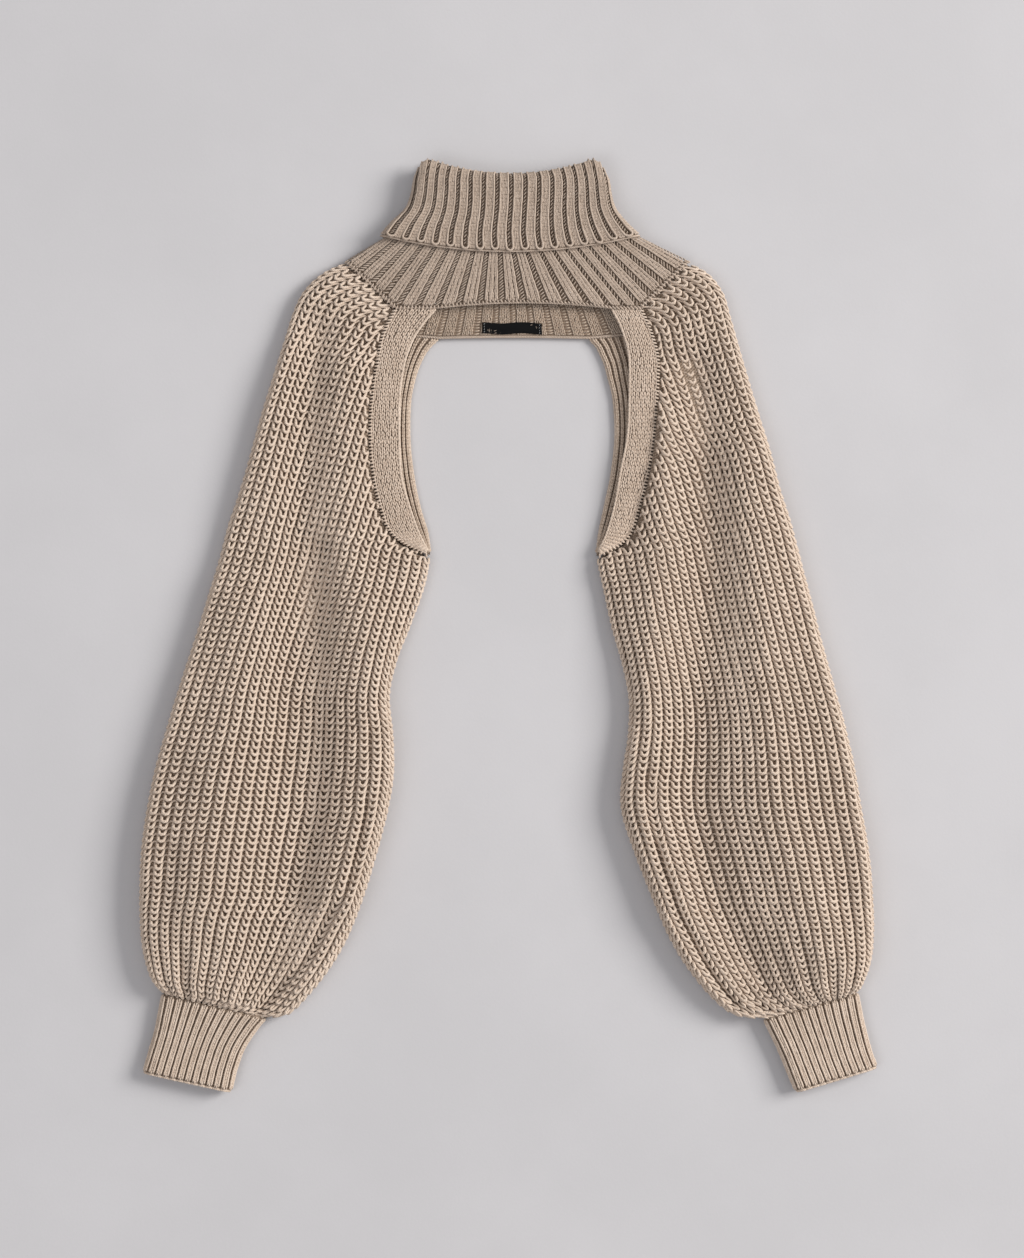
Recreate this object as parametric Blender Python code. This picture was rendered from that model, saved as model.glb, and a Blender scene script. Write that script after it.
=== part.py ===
"""Knitted shrug with a turned-down neck and balloon sleeves, laid flat on its back.

The garment lies on z = 0 with its front facing up (+Z) and its neck towards +Y. Its origin is the
centre of its outline on the surface it lies on. "left" and "right" are the sides as it lies, -X and
+X. Sizes and tables are in millimetres, and each mesh is turned to metres as it is made.

Every piece is a wall of knit with an outer skin, which carries the raised ribs, and a plain inner
skin. A flattened tube is described by rows across it. A row runs from the fold on its outer side
to the edge on its inner side, once over the face that lies up and once over the face that rests on
the surface.
"""

import math
from collections import namedtuple

import bmesh
import bpy
import numpy as np
from mathutils import Matrix

MM = 0.001  # metres in a millimetre
WELD = 0.00005  # metres: points that a row repeats where its edges close

GAP = 0.35  # left between two pieces at a seam, and between the two halves of a sleeve at its folds
CLOTH = 2.8  # heavy knit, without its raised ribs
FINE_CLOTH = 3.0  # the bands
WALE = 1.2  # height of a raised column of stitches on the sleeves
RIB = 1.3  # height of a rib on the neck and the yoke
CUFF_RIB = 0.9
FOLD_RADIUS = 8.0  # how softly a tube turns at its side folds
MIDDLE = 6.0  # height of the side folds above the surface

SLEEVE_WALES = 21  # columns of stitches over the face of a sleeve
CUFF_RIBS = 13  # over the face of a cuff
NECK_RIBS = 20  # over the face of the neck, and of the yoke
SAMPLES = 61  # points that a row is measured with before it is divided
# Columns over the face that rests on the surface, and over the inner skin, as shares of a row.
FLOOR_SHARES = (0.0, 0.015, 0.035, 0.065, 0.2, 0.4, 0.6, 0.8, 0.935, 0.965, 0.985, 1.0)
INSIDE_SHARES = (0.0, 0.02, 0.05, 0.12, 0.26, 0.4, 0.54, 0.68, 0.8, 0.9, 0.95, 0.98, 1.0)
FOLD_PLACES = (0.0, 0.35, 0.8, 1.6, 4.0, 6.0, 8.6)  # columns of a plain face beside a fold, in ribs
RIB_SHOULDERS = (0.3, 0.7)  # where a rib of the neck or the yoke rises and falls, as shares of it
CROWN_SHARE = 0.45  # how far across a row of a sleeve its crown stands
CROWN_DROP = 0.14  # how much lower the face starts at the outer fold, as a share of the crown
INNER_RIB = 0.6  # height of a rib on the side of the cloth that faces in, as a share of RIB
SHARP_ANGLE = 50.0  # degrees: edges sharper than this stay sharp

Row = namedtuple("Row", "fold front back crown edge")
Fold = namedtuple("Fold", "path half_width lift")
Level = namedtuple("Level", "centre_x half_width side_y middle_y")
Skin = namedtuple("Skin", "level grow low high drop rib")
Band = namedtuple("Band", "bottoms profile")
Side = namedtuple("Side", "name sleeve cuff folds front_free back_free")

# A row of a sleeve, from the yoke down: the outer fold, where the front and the back end on the
# inner side, the height of the front's crown, and its height at the inner edge. Down to the
# underarm the front and the back end at their bands, and below it they meet in a fold.
SLEEVE_LEFT = (
    Row((-146.0, 328.5), (-101.0, 285.5), (-98.5, 262.0), 13.6, 12.4),
    Row((-167.0, 318.5), (-107.5, 273.5), (-99.5, 253.0), 14.2, 12.3),
    Row((-184.0, 302.5), (-112.0, 263.0), (-100.5, 245.0), 15.0, 12.2),
    Row((-194.0, 282.5), (-115.0, 252.0), (-102.0, 236.0), 15.6, 12.0),
    Row((-201.0, 259.0), (-117.5, 237.5), (-104.0, 223.0), 16.2, 11.9),
    Row((-211.0, 227.0), (-122.0, 209.0), (-106.5, 199.0), 16.8, 11.7),
    Row((-222.0, 191.0), (-124.0, 173.0), (-107.5, 167.5), 17.2, 11.5),
    Row((-232.0, 155.0), (-121.0, 135.0), (-105.0, 131.5), 17.6, 11.3),
    Row((-241.0, 124.0), (-114.0, 105.5), (-98.5, 103.5), 18.0, 11.0),
    Row((-247.0, 105.5), (-103.0, 82.0), (-89.5, 82.0), 18.2, 10.4),
    Row((-251.5, 92.5), (-69.0, 62.0), (-69.0, 62.0), 18.4, 11.0),
    Row((-261.5, 55.0), (-75.0, 34.0), (-75.0, 34.0), 19.0, 13.0),
    Row((-272.0, 20.5), (-87.0, 1.0), (-87.0, 1.0), 20.0, 14.5),
    Row((-283.0, -14.5), (-99.5, -30.5), (-99.5, -30.5), 21.0, 15.5),
    Row((-295.0, -51.5), (-106.5, -64.0), (-106.5, -64.0), 22.0, 16.0),
    Row((-306.5, -89.0), (-103.0, -100.0), (-103.0, -100.0), 23.0, 16.5),
    Row((-317.0, -126.0), (-103.0, -134.0), (-103.0, -134.0), 24.0, 17.5),
    Row((-324.5, -162.0), (-108.5, -167.5), (-108.5, -167.5), 25.0, 18.5),
    Row((-330.0, -201.5), (-118.5, -206.0), (-118.5, -206.0), 25.5, 19.0),
    Row((-331.5, -237.5), (-131.0, -246.5), (-131.0, -246.5), 25.5, 19.5),
    Row((-331.0, -270.0), (-146.0, -283.5), (-146.0, -283.5), 25.0, 20.0),
    Row((-328.0, -295.0), (-164.0, -313.0), (-164.0, -313.0), 23.5, 20.0),
    Row((-322.0, -316.0), (-184.0, -337.5), (-184.0, -337.5), 21.5, 19.0),
    Row((-315.5, -326.0), (-198.5, -350.0), (-198.5, -350.0), 18.5, 17.5),
    Row((-310.0, -330.5), (-217.5, -352.0), (-217.5, -352.0), 14.6, 14.6),
)
SLEEVE_RIGHT = (
    Row((163.5, 328.5), (120.0, 285.5), (109.5, 262.0), 13.6, 12.4),
    Row((182.0, 317.5), (125.5, 273.5), (111.0, 253.0), 14.2, 12.3),
    Row((195.0, 300.5), (130.0, 262.0), (113.0, 245.0), 15.0, 12.2),
    Row((201.0, 281.0), (133.5, 250.0), (115.0, 236.0), 15.6, 12.0),
    Row((207.5, 257.5), (135.5, 237.5), (116.5, 223.0), 16.2, 11.9),
    Row((216.5, 227.0), (134.5, 209.0), (119.0, 199.0), 16.8, 11.7),
    Row((227.0, 191.0), (132.0, 173.0), (119.0, 167.5), 17.2, 11.5),
    Row((238.0, 155.0), (126.5, 137.0), (115.5, 133.0), 17.6, 11.3),
    Row((246.0, 124.0), (119.0, 108.0), (108.5, 106.0), 18.0, 11.0),
    Row((252.5, 103.5), (108.5, 80.0), (97.0, 81.0), 18.2, 10.4),
    Row((257.0, 89.0), (79.5, 61.0), (79.5, 61.0), 18.4, 11.0),
    Row((266.0, 54.0), (86.0, 32.5), (86.0, 32.5), 19.0, 13.0),
    Row((275.0, 20.0), (94.0, -2.0), (94.0, -2.0), 20.0, 14.5),
    Row((284.0, -15.5), (102.5, -30.5), (102.5, -30.5), 21.0, 15.5),
    Row((294.0, -52.0), (109.5, -64.0), (109.5, -64.0), 22.0, 16.0),
    Row((304.5, -90.0), (109.0, -98.0), (109.0, -98.0), 23.0, 16.5),
    Row((313.0, -128.0), (104.0, -131.5), (104.0, -131.5), 24.0, 17.5),
    Row((319.0, -164.0), (102.5, -164.0), (102.5, -164.0), 25.0, 18.5),
    Row((325.5, -201.5), (114.0, -202.0), (114.0, -202.0), 25.5, 19.0),
    Row((329.0, -239.5), (130.0, -243.0), (130.0, -243.0), 25.5, 19.5),
    Row((330.0, -273.5), (147.0, -282.5), (147.0, -282.5), 25.0, 20.0),
    Row((328.0, -299.0), (167.0, -314.0), (167.0, -314.0), 23.5, 20.0),
    Row((322.5, -317.0), (189.5, -339.5), (189.5, -339.5), 21.5, 19.0),
    Row((319.0, -325.0), (207.5, -351.0), (207.5, -351.0), 18.5, 17.5),
    Row((314.5, -329.5), (231.0, -353.0), (231.0, -353.0), 14.6, 14.6),
)
UNDERARM = 10  # the row where the front and the back of a sleeve close
CUFF_LEFT = (
    Row((-310.2, -331.0), (-218.0, -352.6), (-218.0, -352.6), 14.2, 14.2),
    Row((-313.0, -345.5), (-226.5, -362.5), (-226.5, -362.5), 13.4, 13.4),
    Row((-317.0, -365.5), (-238.0, -380.0), (-238.0, -380.0), 12.8, 12.8),
    Row((-322.5, -384.5), (-245.0, -399.0), (-245.0, -399.0), 12.8, 12.8),
    Row((-327.5, -402.0), (-250.0, -419.0), (-250.0, -419.0), 13.6, 13.6),
)
CUFF_RIGHT = (
    Row((314.7, -330.0), (231.5, -353.6), (231.5, -353.6), 14.2, 14.2),
    Row((318.0, -347.5), (237.0, -365.0), (237.0, -365.0), 13.4, 13.4),
    Row((322.5, -367.0), (245.0, -382.0), (245.0, -382.0), 12.8, 12.8),
    Row((327.0, -383.5), (252.5, -400.0), (252.5, -400.0), 12.8, 12.8),
    Row((332.0, -397.5), (260.5, -419.0), (260.5, -419.0), 13.6, 13.6),
)

# Troughs (negative lift) and ridges in the face of each sleeve, from the shoulder down.
FOLDS_LEFT = (
    Fold(
        (
            (-170.0, 280.0), (-170.5, 176.0), (-167.0, 60.0),
            (-164.0, -66.0), (-174.0, -183.0), (-200.0, -300.0),
        ),
        15.0,
        -2.6,
    ),
    Fold(
        ((-114.0, -105.0), (-118.5, -201.5), (-140.0, -263.0), (-176.0, -311.0), (-208.0, -338.0)),
        6.5,
        -3.6,
    ),
    Fold(((-78.0, 40.0), (-97.0, -12.0), (-112.0, -60.0), (-124.0, -110.0)), 8.0, -2.2),
    Fold(((-300.0, -200.0), (-300.0, -262.0), (-290.0, -322.0)), 9.0, -1.8),
)
FOLDS_RIGHT = (
    Fold(((172.0, 270.0), (192.0, 132.0), (214.0, -12.0), (234.0, -156.0), (252.0, -290.0)), 16.0, -2.2),
    Fold(((116.0, -134.0), (128.0, -201.0), (155.0, -263.0), (190.0, -308.0), (226.0, -340.0)), 6.5, -3.6),
    Fold(((90.0, 36.0), (104.0, -14.0), (116.0, -70.0), (124.0, -120.0)), 8.0, -2.2),
    Fold(((298.0, -200.0), (303.0, -262.0), (296.0, -320.0)), 9.0, -1.8),
)

# Free edges of the bands, row by row beside the first rows of the sleeves.
BAND_FRONT_LEFT = (
    (-64.5, 285.5), (-75.0, 273.5), (-83.0, 262.0), (-88.5, 250.0), (-93.0, 236.0), (-97.0, 209.0),
    (-97.5, 171.0), (-96.0, 137.0), (-88.5, 108.0), (-79.5, 83.0), (-71.5, 67.5),
)
BAND_FRONT_RIGHT = (
    (94.0, 285.5), (100.5, 273.5), (105.0, 262.0), (108.5, 250.0), (110.0, 236.0), (110.0, 209.0),
    (108.5, 173.0), (102.0, 138.5), (97.0, 110.0), (89.5, 83.5), (81.5, 66.5),
)
BAND_BACK_LEFT = (
    (-62.5, 259.0), (-70.0, 252.0), (-75.0, 245.0), (-79.5, 236.0), (-84.0, 222.5), (-88.0, 201.5),
    (-88.5, 167.5), (-85.0, 135.0), (-79.0, 106.0), (-72.5, 84.5), (-70.0, 66.5),
)
BAND_BACK_RIGHT = (
    (74.0, 259.0), (80.5, 252.0), (84.0, 245.0), (88.0, 236.0), (91.5, 223.0), (96.0, 203.5),
    (97.5, 170.0), (94.0, 137.0), (88.5, 110.5), (83.0, 84.5), (80.5, 65.5),
)
BAND_TIP = 0.8  # how far along the last seam stretch a band's pointed end reaches
# The height of a band's under side row by row, and its upper skin as (share across, height raised).
BAND_FRONT = Band(
    (9.4, 9.3, 9.2, 9.0, 8.9, 8.7, 8.5, 8.3, 8.0, 7.4, 6.5),
    ((0.0, 0.0), (0.3, 0.3), (0.76, 0.0), (0.88, 0.8), (1.0, 0.2)),
)
BAND_BACK = Band(
    (0.0,) * 11,
    ((0.0, 0.0), (0.14, 0.7), (0.28, 0.0), (0.42, 0.7), (0.56, 0.0), (0.7, 0.7), (0.84, 0.0), (1.0, 0.6)),
)
BAND_INSIDE = (0.0, 0.5, 1.0)  # columns of a band's under side

# The neck, as levels of a flattened tube. A middle_y lower than side_y bows the level down.
ROLL = Level(3.0, 87.0, 408.0, 407.2)
TURNOVER = (
    Level(3.4, 88.2, 400.0, 402.0),
    Level(3.4, 90.2, 388.0, 390.0),
    Level(2.6, 95.0, 374.5, 373.0),
    Level(1.2, 107.0, 361.5, 354.0),
    Level(2.4, 117.5, 351.0, 336.5),
)
STAND = (
    Level(3.4, 84.4, 399.0, 400.0),
    Level(3.0, 86.5, 380.0, 377.0),
    Level(3.0, 97.5, 359.0, 349.0),
)
ROLL_PEAK = 14.5  # how much higher the roll stands near its corners than in its middle
ROLL_CORNER = 0.86  # share of the half width where the roll's corners start to drop
ROLL_FALL = 1.05  # how far they drop, as a share of ROLL_PEAK
ROLL_TUCK = 1.2  # how far the roll draws in from the layers below it
STAND_LOW, STAND_HIGH = 3.6, 16.4  # heights of the standing layer's outer skin
TURN_LOW, TURN_HIGH = 0.0, 20.8  # and of the turned-down layer's
UNDER_LOW, UNDER_HIGH = 3.2, 18.0  # and of the turned-down layer's inner skin
NECK_MIDDLE = 10.0

# The yoke's lower edge, shoulder to shoulder, with the ribs that end on each stretch.
YOKE_STRETCHES = (4, 2, 8, 2, 4)
HEM_FRONT_RISE = 5.0  # how much higher each hem stands in its middle than at its ends
HEM_BACK_RISE = 1.0
YOKE_DEPTH = 60.0  # from the neck seam down to the sleeve seams, at least
YOKE_ROWS = (0.0, 0.3, 0.46, 0.72, 1.0)
YOKE_FRONT_HEIGHTS = (16.4, 15.8, 15.0, 13.8, 12.4)
YOKE_BACK_HEIGHTS = (3.6, 3.6, 0.0, 0.0, 0.0)
YOKE_MIDDLES = (10.0, 9.2, 8.0, 7.0, 6.0)

LABEL_SIZE = (52.0, 10.0, 0.6)
LABEL_CENTRE = (4.0, 268.5)
LABEL_CLEARANCE = 0.3

OATMEAL = (0.37, 0.29, 0.23)
SHADED_OATMEAL = (0.33, 0.26, 0.205)
LABEL_BLACK = (0.012, 0.012, 0.014)
KNIT_ROUGHNESS = 0.95
LABEL_ROUGHNESS = 0.8
SIDE_PIECES = (
    ("sleeve", OATMEAL),
    ("cuff", OATMEAL),
    ("band_front", OATMEAL),
    ("band_back", SHADED_OATMEAL),
)
SIDES = (
    Side("left", SLEEVE_LEFT, CUFF_LEFT, FOLDS_LEFT, BAND_FRONT_LEFT, BAND_BACK_LEFT),
    Side("right", SLEEVE_RIGHT, CUFF_RIGHT, FOLDS_RIGHT, BAND_FRONT_RIGHT, BAND_BACK_RIGHT),
)


def clear_scene():
    """Removes what a new file holds."""
    for obj in list(bpy.data.objects):
        bpy.data.objects.remove(obj, do_unlink=True)


def cloth_material(name, colour, roughness):
    """A Principled material of one colour."""
    material = bpy.data.materials.new(name)
    material.use_nodes = True
    shader = material.node_tree.nodes["Principled BSDF"]
    shader.inputs["Base Color"].default_value = (*colour, 1.0)
    shader.inputs["Roughness"].default_value = roughness
    shader.inputs["Metallic"].default_value = 0.0
    return material


def fold_rise(distance, radius):
    """0 on a fold, rising along a quarter circle to 1 where the cloth lies flat."""
    if radius <= 0.0:
        return np.ones_like(distance)
    reach = np.clip(distance / radius, 0.0, 1.0)
    return np.sqrt(1.0 - (1.0 - reach) ** 2)


def distance_to_path(points, path):
    """Distance in plan from each point to a path of straight stretches."""
    nearest = np.full(len(points), np.inf)
    for start, end in zip(path[:-1], path[1:]):
        start, end = np.array(start), np.array(end)
        step = end - start
        share = np.clip((points - start) @ step / (step @ step), 0.0, 1.0)
        gap = np.linalg.norm(points - (start + share[:, None] * step), axis=1)
        nearest = np.minimum(nearest, gap)
    return nearest


def folds_lift(points, folds):
    """How far the creases lower or raise the face at these points in plan."""
    lift = np.zeros(len(points))
    for fold in folds:
        reach = distance_to_path(points, fold.path) / fold.half_width
        lift += fold.lift * np.exp(-(reach**2))
    return lift


def half_loop(start, end, middle, height, radii):
    """One face of a flattened tube, from the fold at start to the fold or edge at end.

    middle is the folds' own height. height is the face's where it is clear of them, as a number or
    a function of the share across and the points in plan. radii are the folds' radii, 0 where the
    cloth just ends.
    """
    share = 0.5 - 0.5 * np.cos(np.linspace(0.0, math.pi, SAMPLES))
    start, end = np.array(start, float), np.array(end, float)
    plan = start + share[:, None] * (end - start)
    length = np.linalg.norm(end - start)
    rise = fold_rise(share * length, radii[0]) * fold_rise((1.0 - share) * length, radii[1])
    face = height(share, plan) if callable(height) else np.full(SAMPLES, float(height))
    return np.column_stack([plan, middle + (face - middle) * rise])


def lengths_along(curve):
    """Distance along a curve to each of its points."""
    steps = np.linalg.norm(np.diff(curve, axis=0), axis=1)
    return np.concatenate([[0.0], np.cumsum(steps)])


def at_lengths(curve, wanted):
    """Points of a sampled curve at the wanted distances along it."""
    along = lengths_along(curve)
    return np.column_stack([np.interp(wanted, along, axis) for axis in curve.T])


def raised(points, lifts):
    """Points of one face moved out of it by lifts, at right angles to its run."""
    run = np.gradient(points, axis=0)
    flat = run[:, :2].copy()
    across = flat / np.maximum(np.linalg.norm(flat, axis=1), 1e-9)[:, None]
    forward = np.linalg.norm(flat, axis=1)
    climb = run[:, 2]
    size = np.maximum(np.hypot(forward, climb), 1e-9)
    out = np.column_stack([across * (-climb / size)[:, None], forward / size])
    return points + lifts[:, None] * out


def shares_along(points, turn):
    """Each point's place along a row: 0 to 1 as far as its turn, and 1 to 2 beyond it."""
    along = lengths_along(points)
    before, after = along[: turn + 1], along[turn:]
    first = before / max(before[-1], 1e-9)
    second = 1.0 + (after - after[0]) / max(after[-1] - after[0], 1e-9)
    return np.concatenate([first, second[1:]])


def zip_faces(first, second, first_places, second_places):
    """Triangles between two lists of point numbers that run side by side."""
    faces = []
    i = j = 0
    while i < len(first) - 1 or j < len(second) - 1:
        ahead_first = first_places[i + 1] if i < len(first) - 1 else math.inf
        ahead_second = second_places[j + 1] if j < len(second) - 1 else math.inf
        if ahead_first <= ahead_second:
            faces.append((first[i], first[i + 1], second[j]))
            i += 1
        else:
            faces.append((first[i], second[j + 1], second[j]))
            j += 1
    return faces


def grid_faces(numbers):
    """Quads between neighbouring rows and columns of point numbers."""
    rows, columns = numbers.shape
    return [
        (numbers[r, c], numbers[r, c + 1], numbers[r + 1, c + 1], numbers[r + 1, c])
        for r in range(rows - 1)
        for c in range(columns - 1)
    ]


def wall(outer, inner, turns, open_rows):
    """Points and faces of a wall between two skins.

    Both skins are arrays of rows of points with the same number of rows. turns are the columns of
    each skin where a row turns from one face to the other. In the first open_rows rows the two
    sides stay apart, and there the wall gets side faces. In the rest they close.
    """
    outer, inner = np.array(outer), np.array(inner)
    points = np.concatenate([outer.reshape(-1, 3), inner.reshape(-1, 3)])
    out = np.arange(outer.shape[0] * outer.shape[1]).reshape(outer.shape[:2])
    into = out.size + np.arange(inner.shape[0] * inner.shape[1]).reshape(inner.shape[:2])
    faces = grid_faces(out) + grid_faces(into)
    for row in (0, -1):
        places = shares_along(outer[row], turns[0]), shares_along(inner[row], turns[1])
        faces += zip_faces(out[row], into[row], *places)
    for row in range(open_rows):
        for side in (0, -1):
            faces.append((out[row, side], out[row + 1, side], into[row + 1, side], into[row, side]))
    return points, faces


def add_piece(name, points, faces, material, collection):
    """A closed mesh object from points in millimetres, with repeated points welded."""
    mesh = bpy.data.meshes.new(name)
    mesh.from_pydata([tuple(point * MM) for point in points], [], [list(map(int, face)) for face in faces])
    work = bmesh.new()
    work.from_mesh(mesh)
    bmesh.ops.remove_doubles(work, verts=work.verts, dist=WELD)
    bmesh.ops.delete(work, geom=[edge for edge in work.edges if not edge.link_faces], context="EDGES")
    bmesh.ops.recalc_face_normals(work, faces=work.faces)
    if work.calc_volume(signed=True) < 0.0:
        bmesh.ops.reverse_faces(work, faces=work.faces)
    work.to_mesh(mesh)
    work.free()
    mesh.shade_smooth()
    mesh.set_sharp_from_angle(angle=math.radians(SHARP_ANGLE))
    mesh.materials.append(material)
    obj = bpy.data.objects.new(name, mesh)
    collection.objects.link(obj)
    return obj


def tube_halves(row, closed, ribs, rib_height, pitch, folds, split):
    """The front and the back half of one row of a tube, each as its outer and its inner skin.

    Every skin runs from the fold on the outer side to the edge on the inner side. Ribs are spaced
    by pitch from the outer fold, or divide the row evenly where pitch is None. split is the gap
    left between the halves where they meet.
    """
    fold, front, back = np.array(row.fold), np.array(row.front), np.array(row.back)
    to_front = (front - fold) / np.linalg.norm(front - fold)
    to_back = (back - fold) / np.linalg.norm(back - fold)
    end_radius = FOLD_RADIUS if closed else 0.0
    above, below = MIDDLE + 0.5 * split, MIDDLE - 0.5 * split

    def face(share, plan):
        before = np.clip(1.0 - share / CROWN_SHARE, 0.0, 1.0)
        beyond = np.clip((share - CROWN_SHARE) / (1.0 - CROWN_SHARE), 0.0, 1.0)
        rising = row.crown * (1.0 - CROWN_DROP * before**2)
        falling = (row.crown - row.edge) * beyond**2
        return rising - falling + folds_lift(plan, folds)

    def face_inside(share, plan):
        return face(share, plan) - CLOTH

    top = half_loop(fold, front, above, face, (FOLD_RADIUS, end_radius))
    whole = lengths_along(top)[-1]
    step = (pitch or whole / ribs) / 2.0
    columns = np.arange(2 * ribs + 1)
    wanted = np.minimum(columns * step, whole)
    on_rib = (columns % 2 == 1) & (wanted < whole - 0.5 * step)
    top = raised(at_lengths(top, wanted), rib_height * on_rib)
    floor = half_loop(fold, back, below, 0.0, (FOLD_RADIUS, end_radius))
    floor = at_lengths(floor, np.array(FLOOR_SHARES) * lengths_along(floor)[-1])

    inset = CLOTH if closed else 0.0
    radii = (FOLD_RADIUS - 0.5 * CLOTH, end_radius - 0.5 * inset)
    top_in = half_loop(fold + CLOTH * to_front, front - inset * to_front, above, face_inside, radii)
    top_in = at_lengths(top_in, np.array(INSIDE_SHARES) * lengths_along(top_in)[-1])
    floor_in = half_loop(fold + CLOTH * to_front, back - inset * to_back, below, CLOTH, radii)
    floor_in = at_lengths(floor_in, np.array(FLOOR_SHARES) * lengths_along(floor_in)[-1])
    return (top, top_in), (floor, floor_in)


def wale_pitch(row):
    """Spacing of a sleeve's columns of stitches at a closed row."""
    chord = np.linalg.norm(np.array(row.front) - np.array(row.fold))
    return (chord + FOLD_RADIUS) / SLEEVE_WALES


def add_sleeve(side, rows, folds, material, collection):
    """The front and the back half of a balloon sleeve, which part along its folds.

    Down to the underarm the halves end at the bands, and below it they meet in a second fold.
    """
    halves = []
    for number, row in enumerate(rows):
        closed = number >= UNDERARM
        pitch = None if closed else wale_pitch(rows[UNDERARM])
        halves.append(tube_halves(row, closed, SLEEVE_WALES, WALE, pitch, folds, GAP))
    for name, skins in zip(("sleeve_front", "sleeve_back"), zip(*halves)):
        outer, inner = zip(*skins)
        mesh = wall(outer, inner, (0, 0), len(rows) - 1)
        add_piece(f"{name}_{side}", *mesh, material, collection)


def add_cuff(name, rows, material, collection):
    """A fine ribbed tube."""
    outer, inner = [], []
    for row in rows:
        front, back = tube_halves(row, True, CUFF_RIBS, CUFF_RIB, None, (), 0.0)
        outer.append(np.concatenate([back[0][::-1], front[0][1:]]))
        inner.append(np.concatenate([back[1][::-1], front[1][1:]]))
    turn = len(FLOOR_SHARES) - 1
    return add_piece(name, *wall(outer, inner, (turn, turn), 0), material, collection)


def towards(point, target, distance):
    """A point in plan moved towards a target."""
    point, target = np.array(point, float), np.array(target, float)
    return point + (target - point) * distance / np.linalg.norm(target - point)


def add_band(name, seam, free, band, material, collection):
    """A narrow strip between a sleeve's seam and its own free edge."""
    tip = np.array(seam[-2]) * (1.0 - BAND_TIP) + np.array(seam[-1]) * BAND_TIP
    outer, inner = [], []
    for on_seam, on_edge, low in zip([*seam[:-1], tip], free, band.bottoms):
        start = towards(on_seam, on_edge, 2.0 * GAP)
        across = np.array(on_edge) - start
        outer.append(
            [(*(start + share * across), low + FINE_CLOTH + lift) for share, lift in band.profile]
        )
        inner.append([(*(start + share * across), low) for share in BAND_INSIDE])
    return add_piece(name, *wall(outer, inner, (0, 0), len(seam) - 1), material, collection)


def rib_positions():
    """Columns over one face of the neck or yoke, in ribs, and how far each one is raised."""
    places, lifts = [], []
    for rib in range(NECK_RIBS):
        places += [rib, *(rib + shoulder for shoulder in RIB_SHOULDERS)]
        lifts += [0.0, *(1.0 for _ in RIB_SHOULDERS)]
    return np.array([*places, NECK_RIBS], float), np.array([*lifts, 0.0])


def plain_positions():
    """Columns over a plain face, closer together at the folds."""
    return np.array([*FOLD_PLACES, *(NECK_RIBS - place for place in reversed(FOLD_PLACES))], float)


def level_half(level, grow, height, radius, places, drop=0.0, bulge=0.0):
    """Points over one face of the neck at a level, from its left fold to its right."""
    half = level.half_width + grow
    ends = (level.centre_x - half, 0.0), (level.centre_x + half, 0.0)
    curve = half_loop(*ends, NECK_MIDDLE, height, (radius, radius))
    points = at_lengths(curve, places / NECK_RIBS * lengths_along(curve)[-1])
    across = (points[:, 0] - level.centre_x) / half
    points[:, 1] = level.side_y + (level.middle_y - level.side_y) * (1.0 - across**2) - drop
    corner = np.clip((np.abs(across) - ROLL_CORNER) / (1.0 - ROLL_CORNER), 0.0, 1.0)
    points[:, 1] += bulge * (across**2 - ROLL_FALL * corner**2)
    return points


def add_collar(material, collection):
    """The neck: a standing tube, rolled over at the top and turned down outside itself."""
    stand_in = STAND_LOW + CLOTH, STAND_HIGH - CLOTH
    skins = [Skin(level, 0.0, TURN_LOW, TURN_HIGH, 0.0, 1.0) for level in reversed(TURNOVER)]
    skins.append(Skin(ROLL, -ROLL_TUCK, TURN_LOW + ROLL_TUCK, TURN_HIGH - ROLL_TUCK, 0.0, 1.0))
    skins.append(Skin(ROLL, -CLOTH, STAND_LOW, STAND_HIGH, -ROLL_TUCK, INNER_RIB))
    skins += [Skin(level, -CLOTH, *stand_in, 0.0, 0.0) for level in STAND]
    skins += [Skin(level, 0.0, STAND_LOW, STAND_HIGH, 0.0, 0.0) for level in reversed(STAND)]
    skins += [Skin(level, -CLOTH, UNDER_LOW, UNDER_HIGH, 0.0, 0.0) for level in TURNOVER]
    ribbed, lifts = rib_positions()
    plain = plain_positions()
    rings = []
    for level, grow, low, high, drop, rib in skins:
        bulge = ROLL_PEAK if level is ROLL else 0.0
        front = level_half(level, grow, high, FOLD_RADIUS, ribbed, drop, bulge)
        front = raised(front, RIB * rib * lifts)
        back = level_half(level, grow, low, FOLD_RADIUS, plain, drop, bulge)
        rings.append(np.concatenate([front, back[::-1][1:]]))
    rings = np.array(rings)
    numbers = np.arange(rings.shape[0] * rings.shape[1]).reshape(rings.shape[:2])
    closed = np.concatenate([numbers, numbers[:1]])
    return add_piece("collar", rings.reshape(-1, 3), grid_faces(closed), material, collection)


def yoke_edge(corners, rise, places):
    """Points in plan on the yoke's lower edge at the given places, counted in ribs."""
    marks = np.concatenate([[0], np.cumsum(YOKE_STRETCHES)])
    plan = np.column_stack(
        [np.interp(places, marks, [corner[axis] for corner in corners]) for axis in (0, 1)]
    )
    across = np.clip((places - marks[2]) / (marks[3] - marks[2]), 0.0, 1.0)
    plan[:, 1] += rise * 4.0 * across * (1.0 - across)
    return plan


def edge_rise(plan, radius):
    """How far the lower edge has turned over from its shoulder folds at each point."""
    along = lengths_along(np.column_stack([plan, np.zeros(len(plan))]))
    return fold_rise(along, radius) * fold_rise(along[-1] - along, radius)


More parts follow.
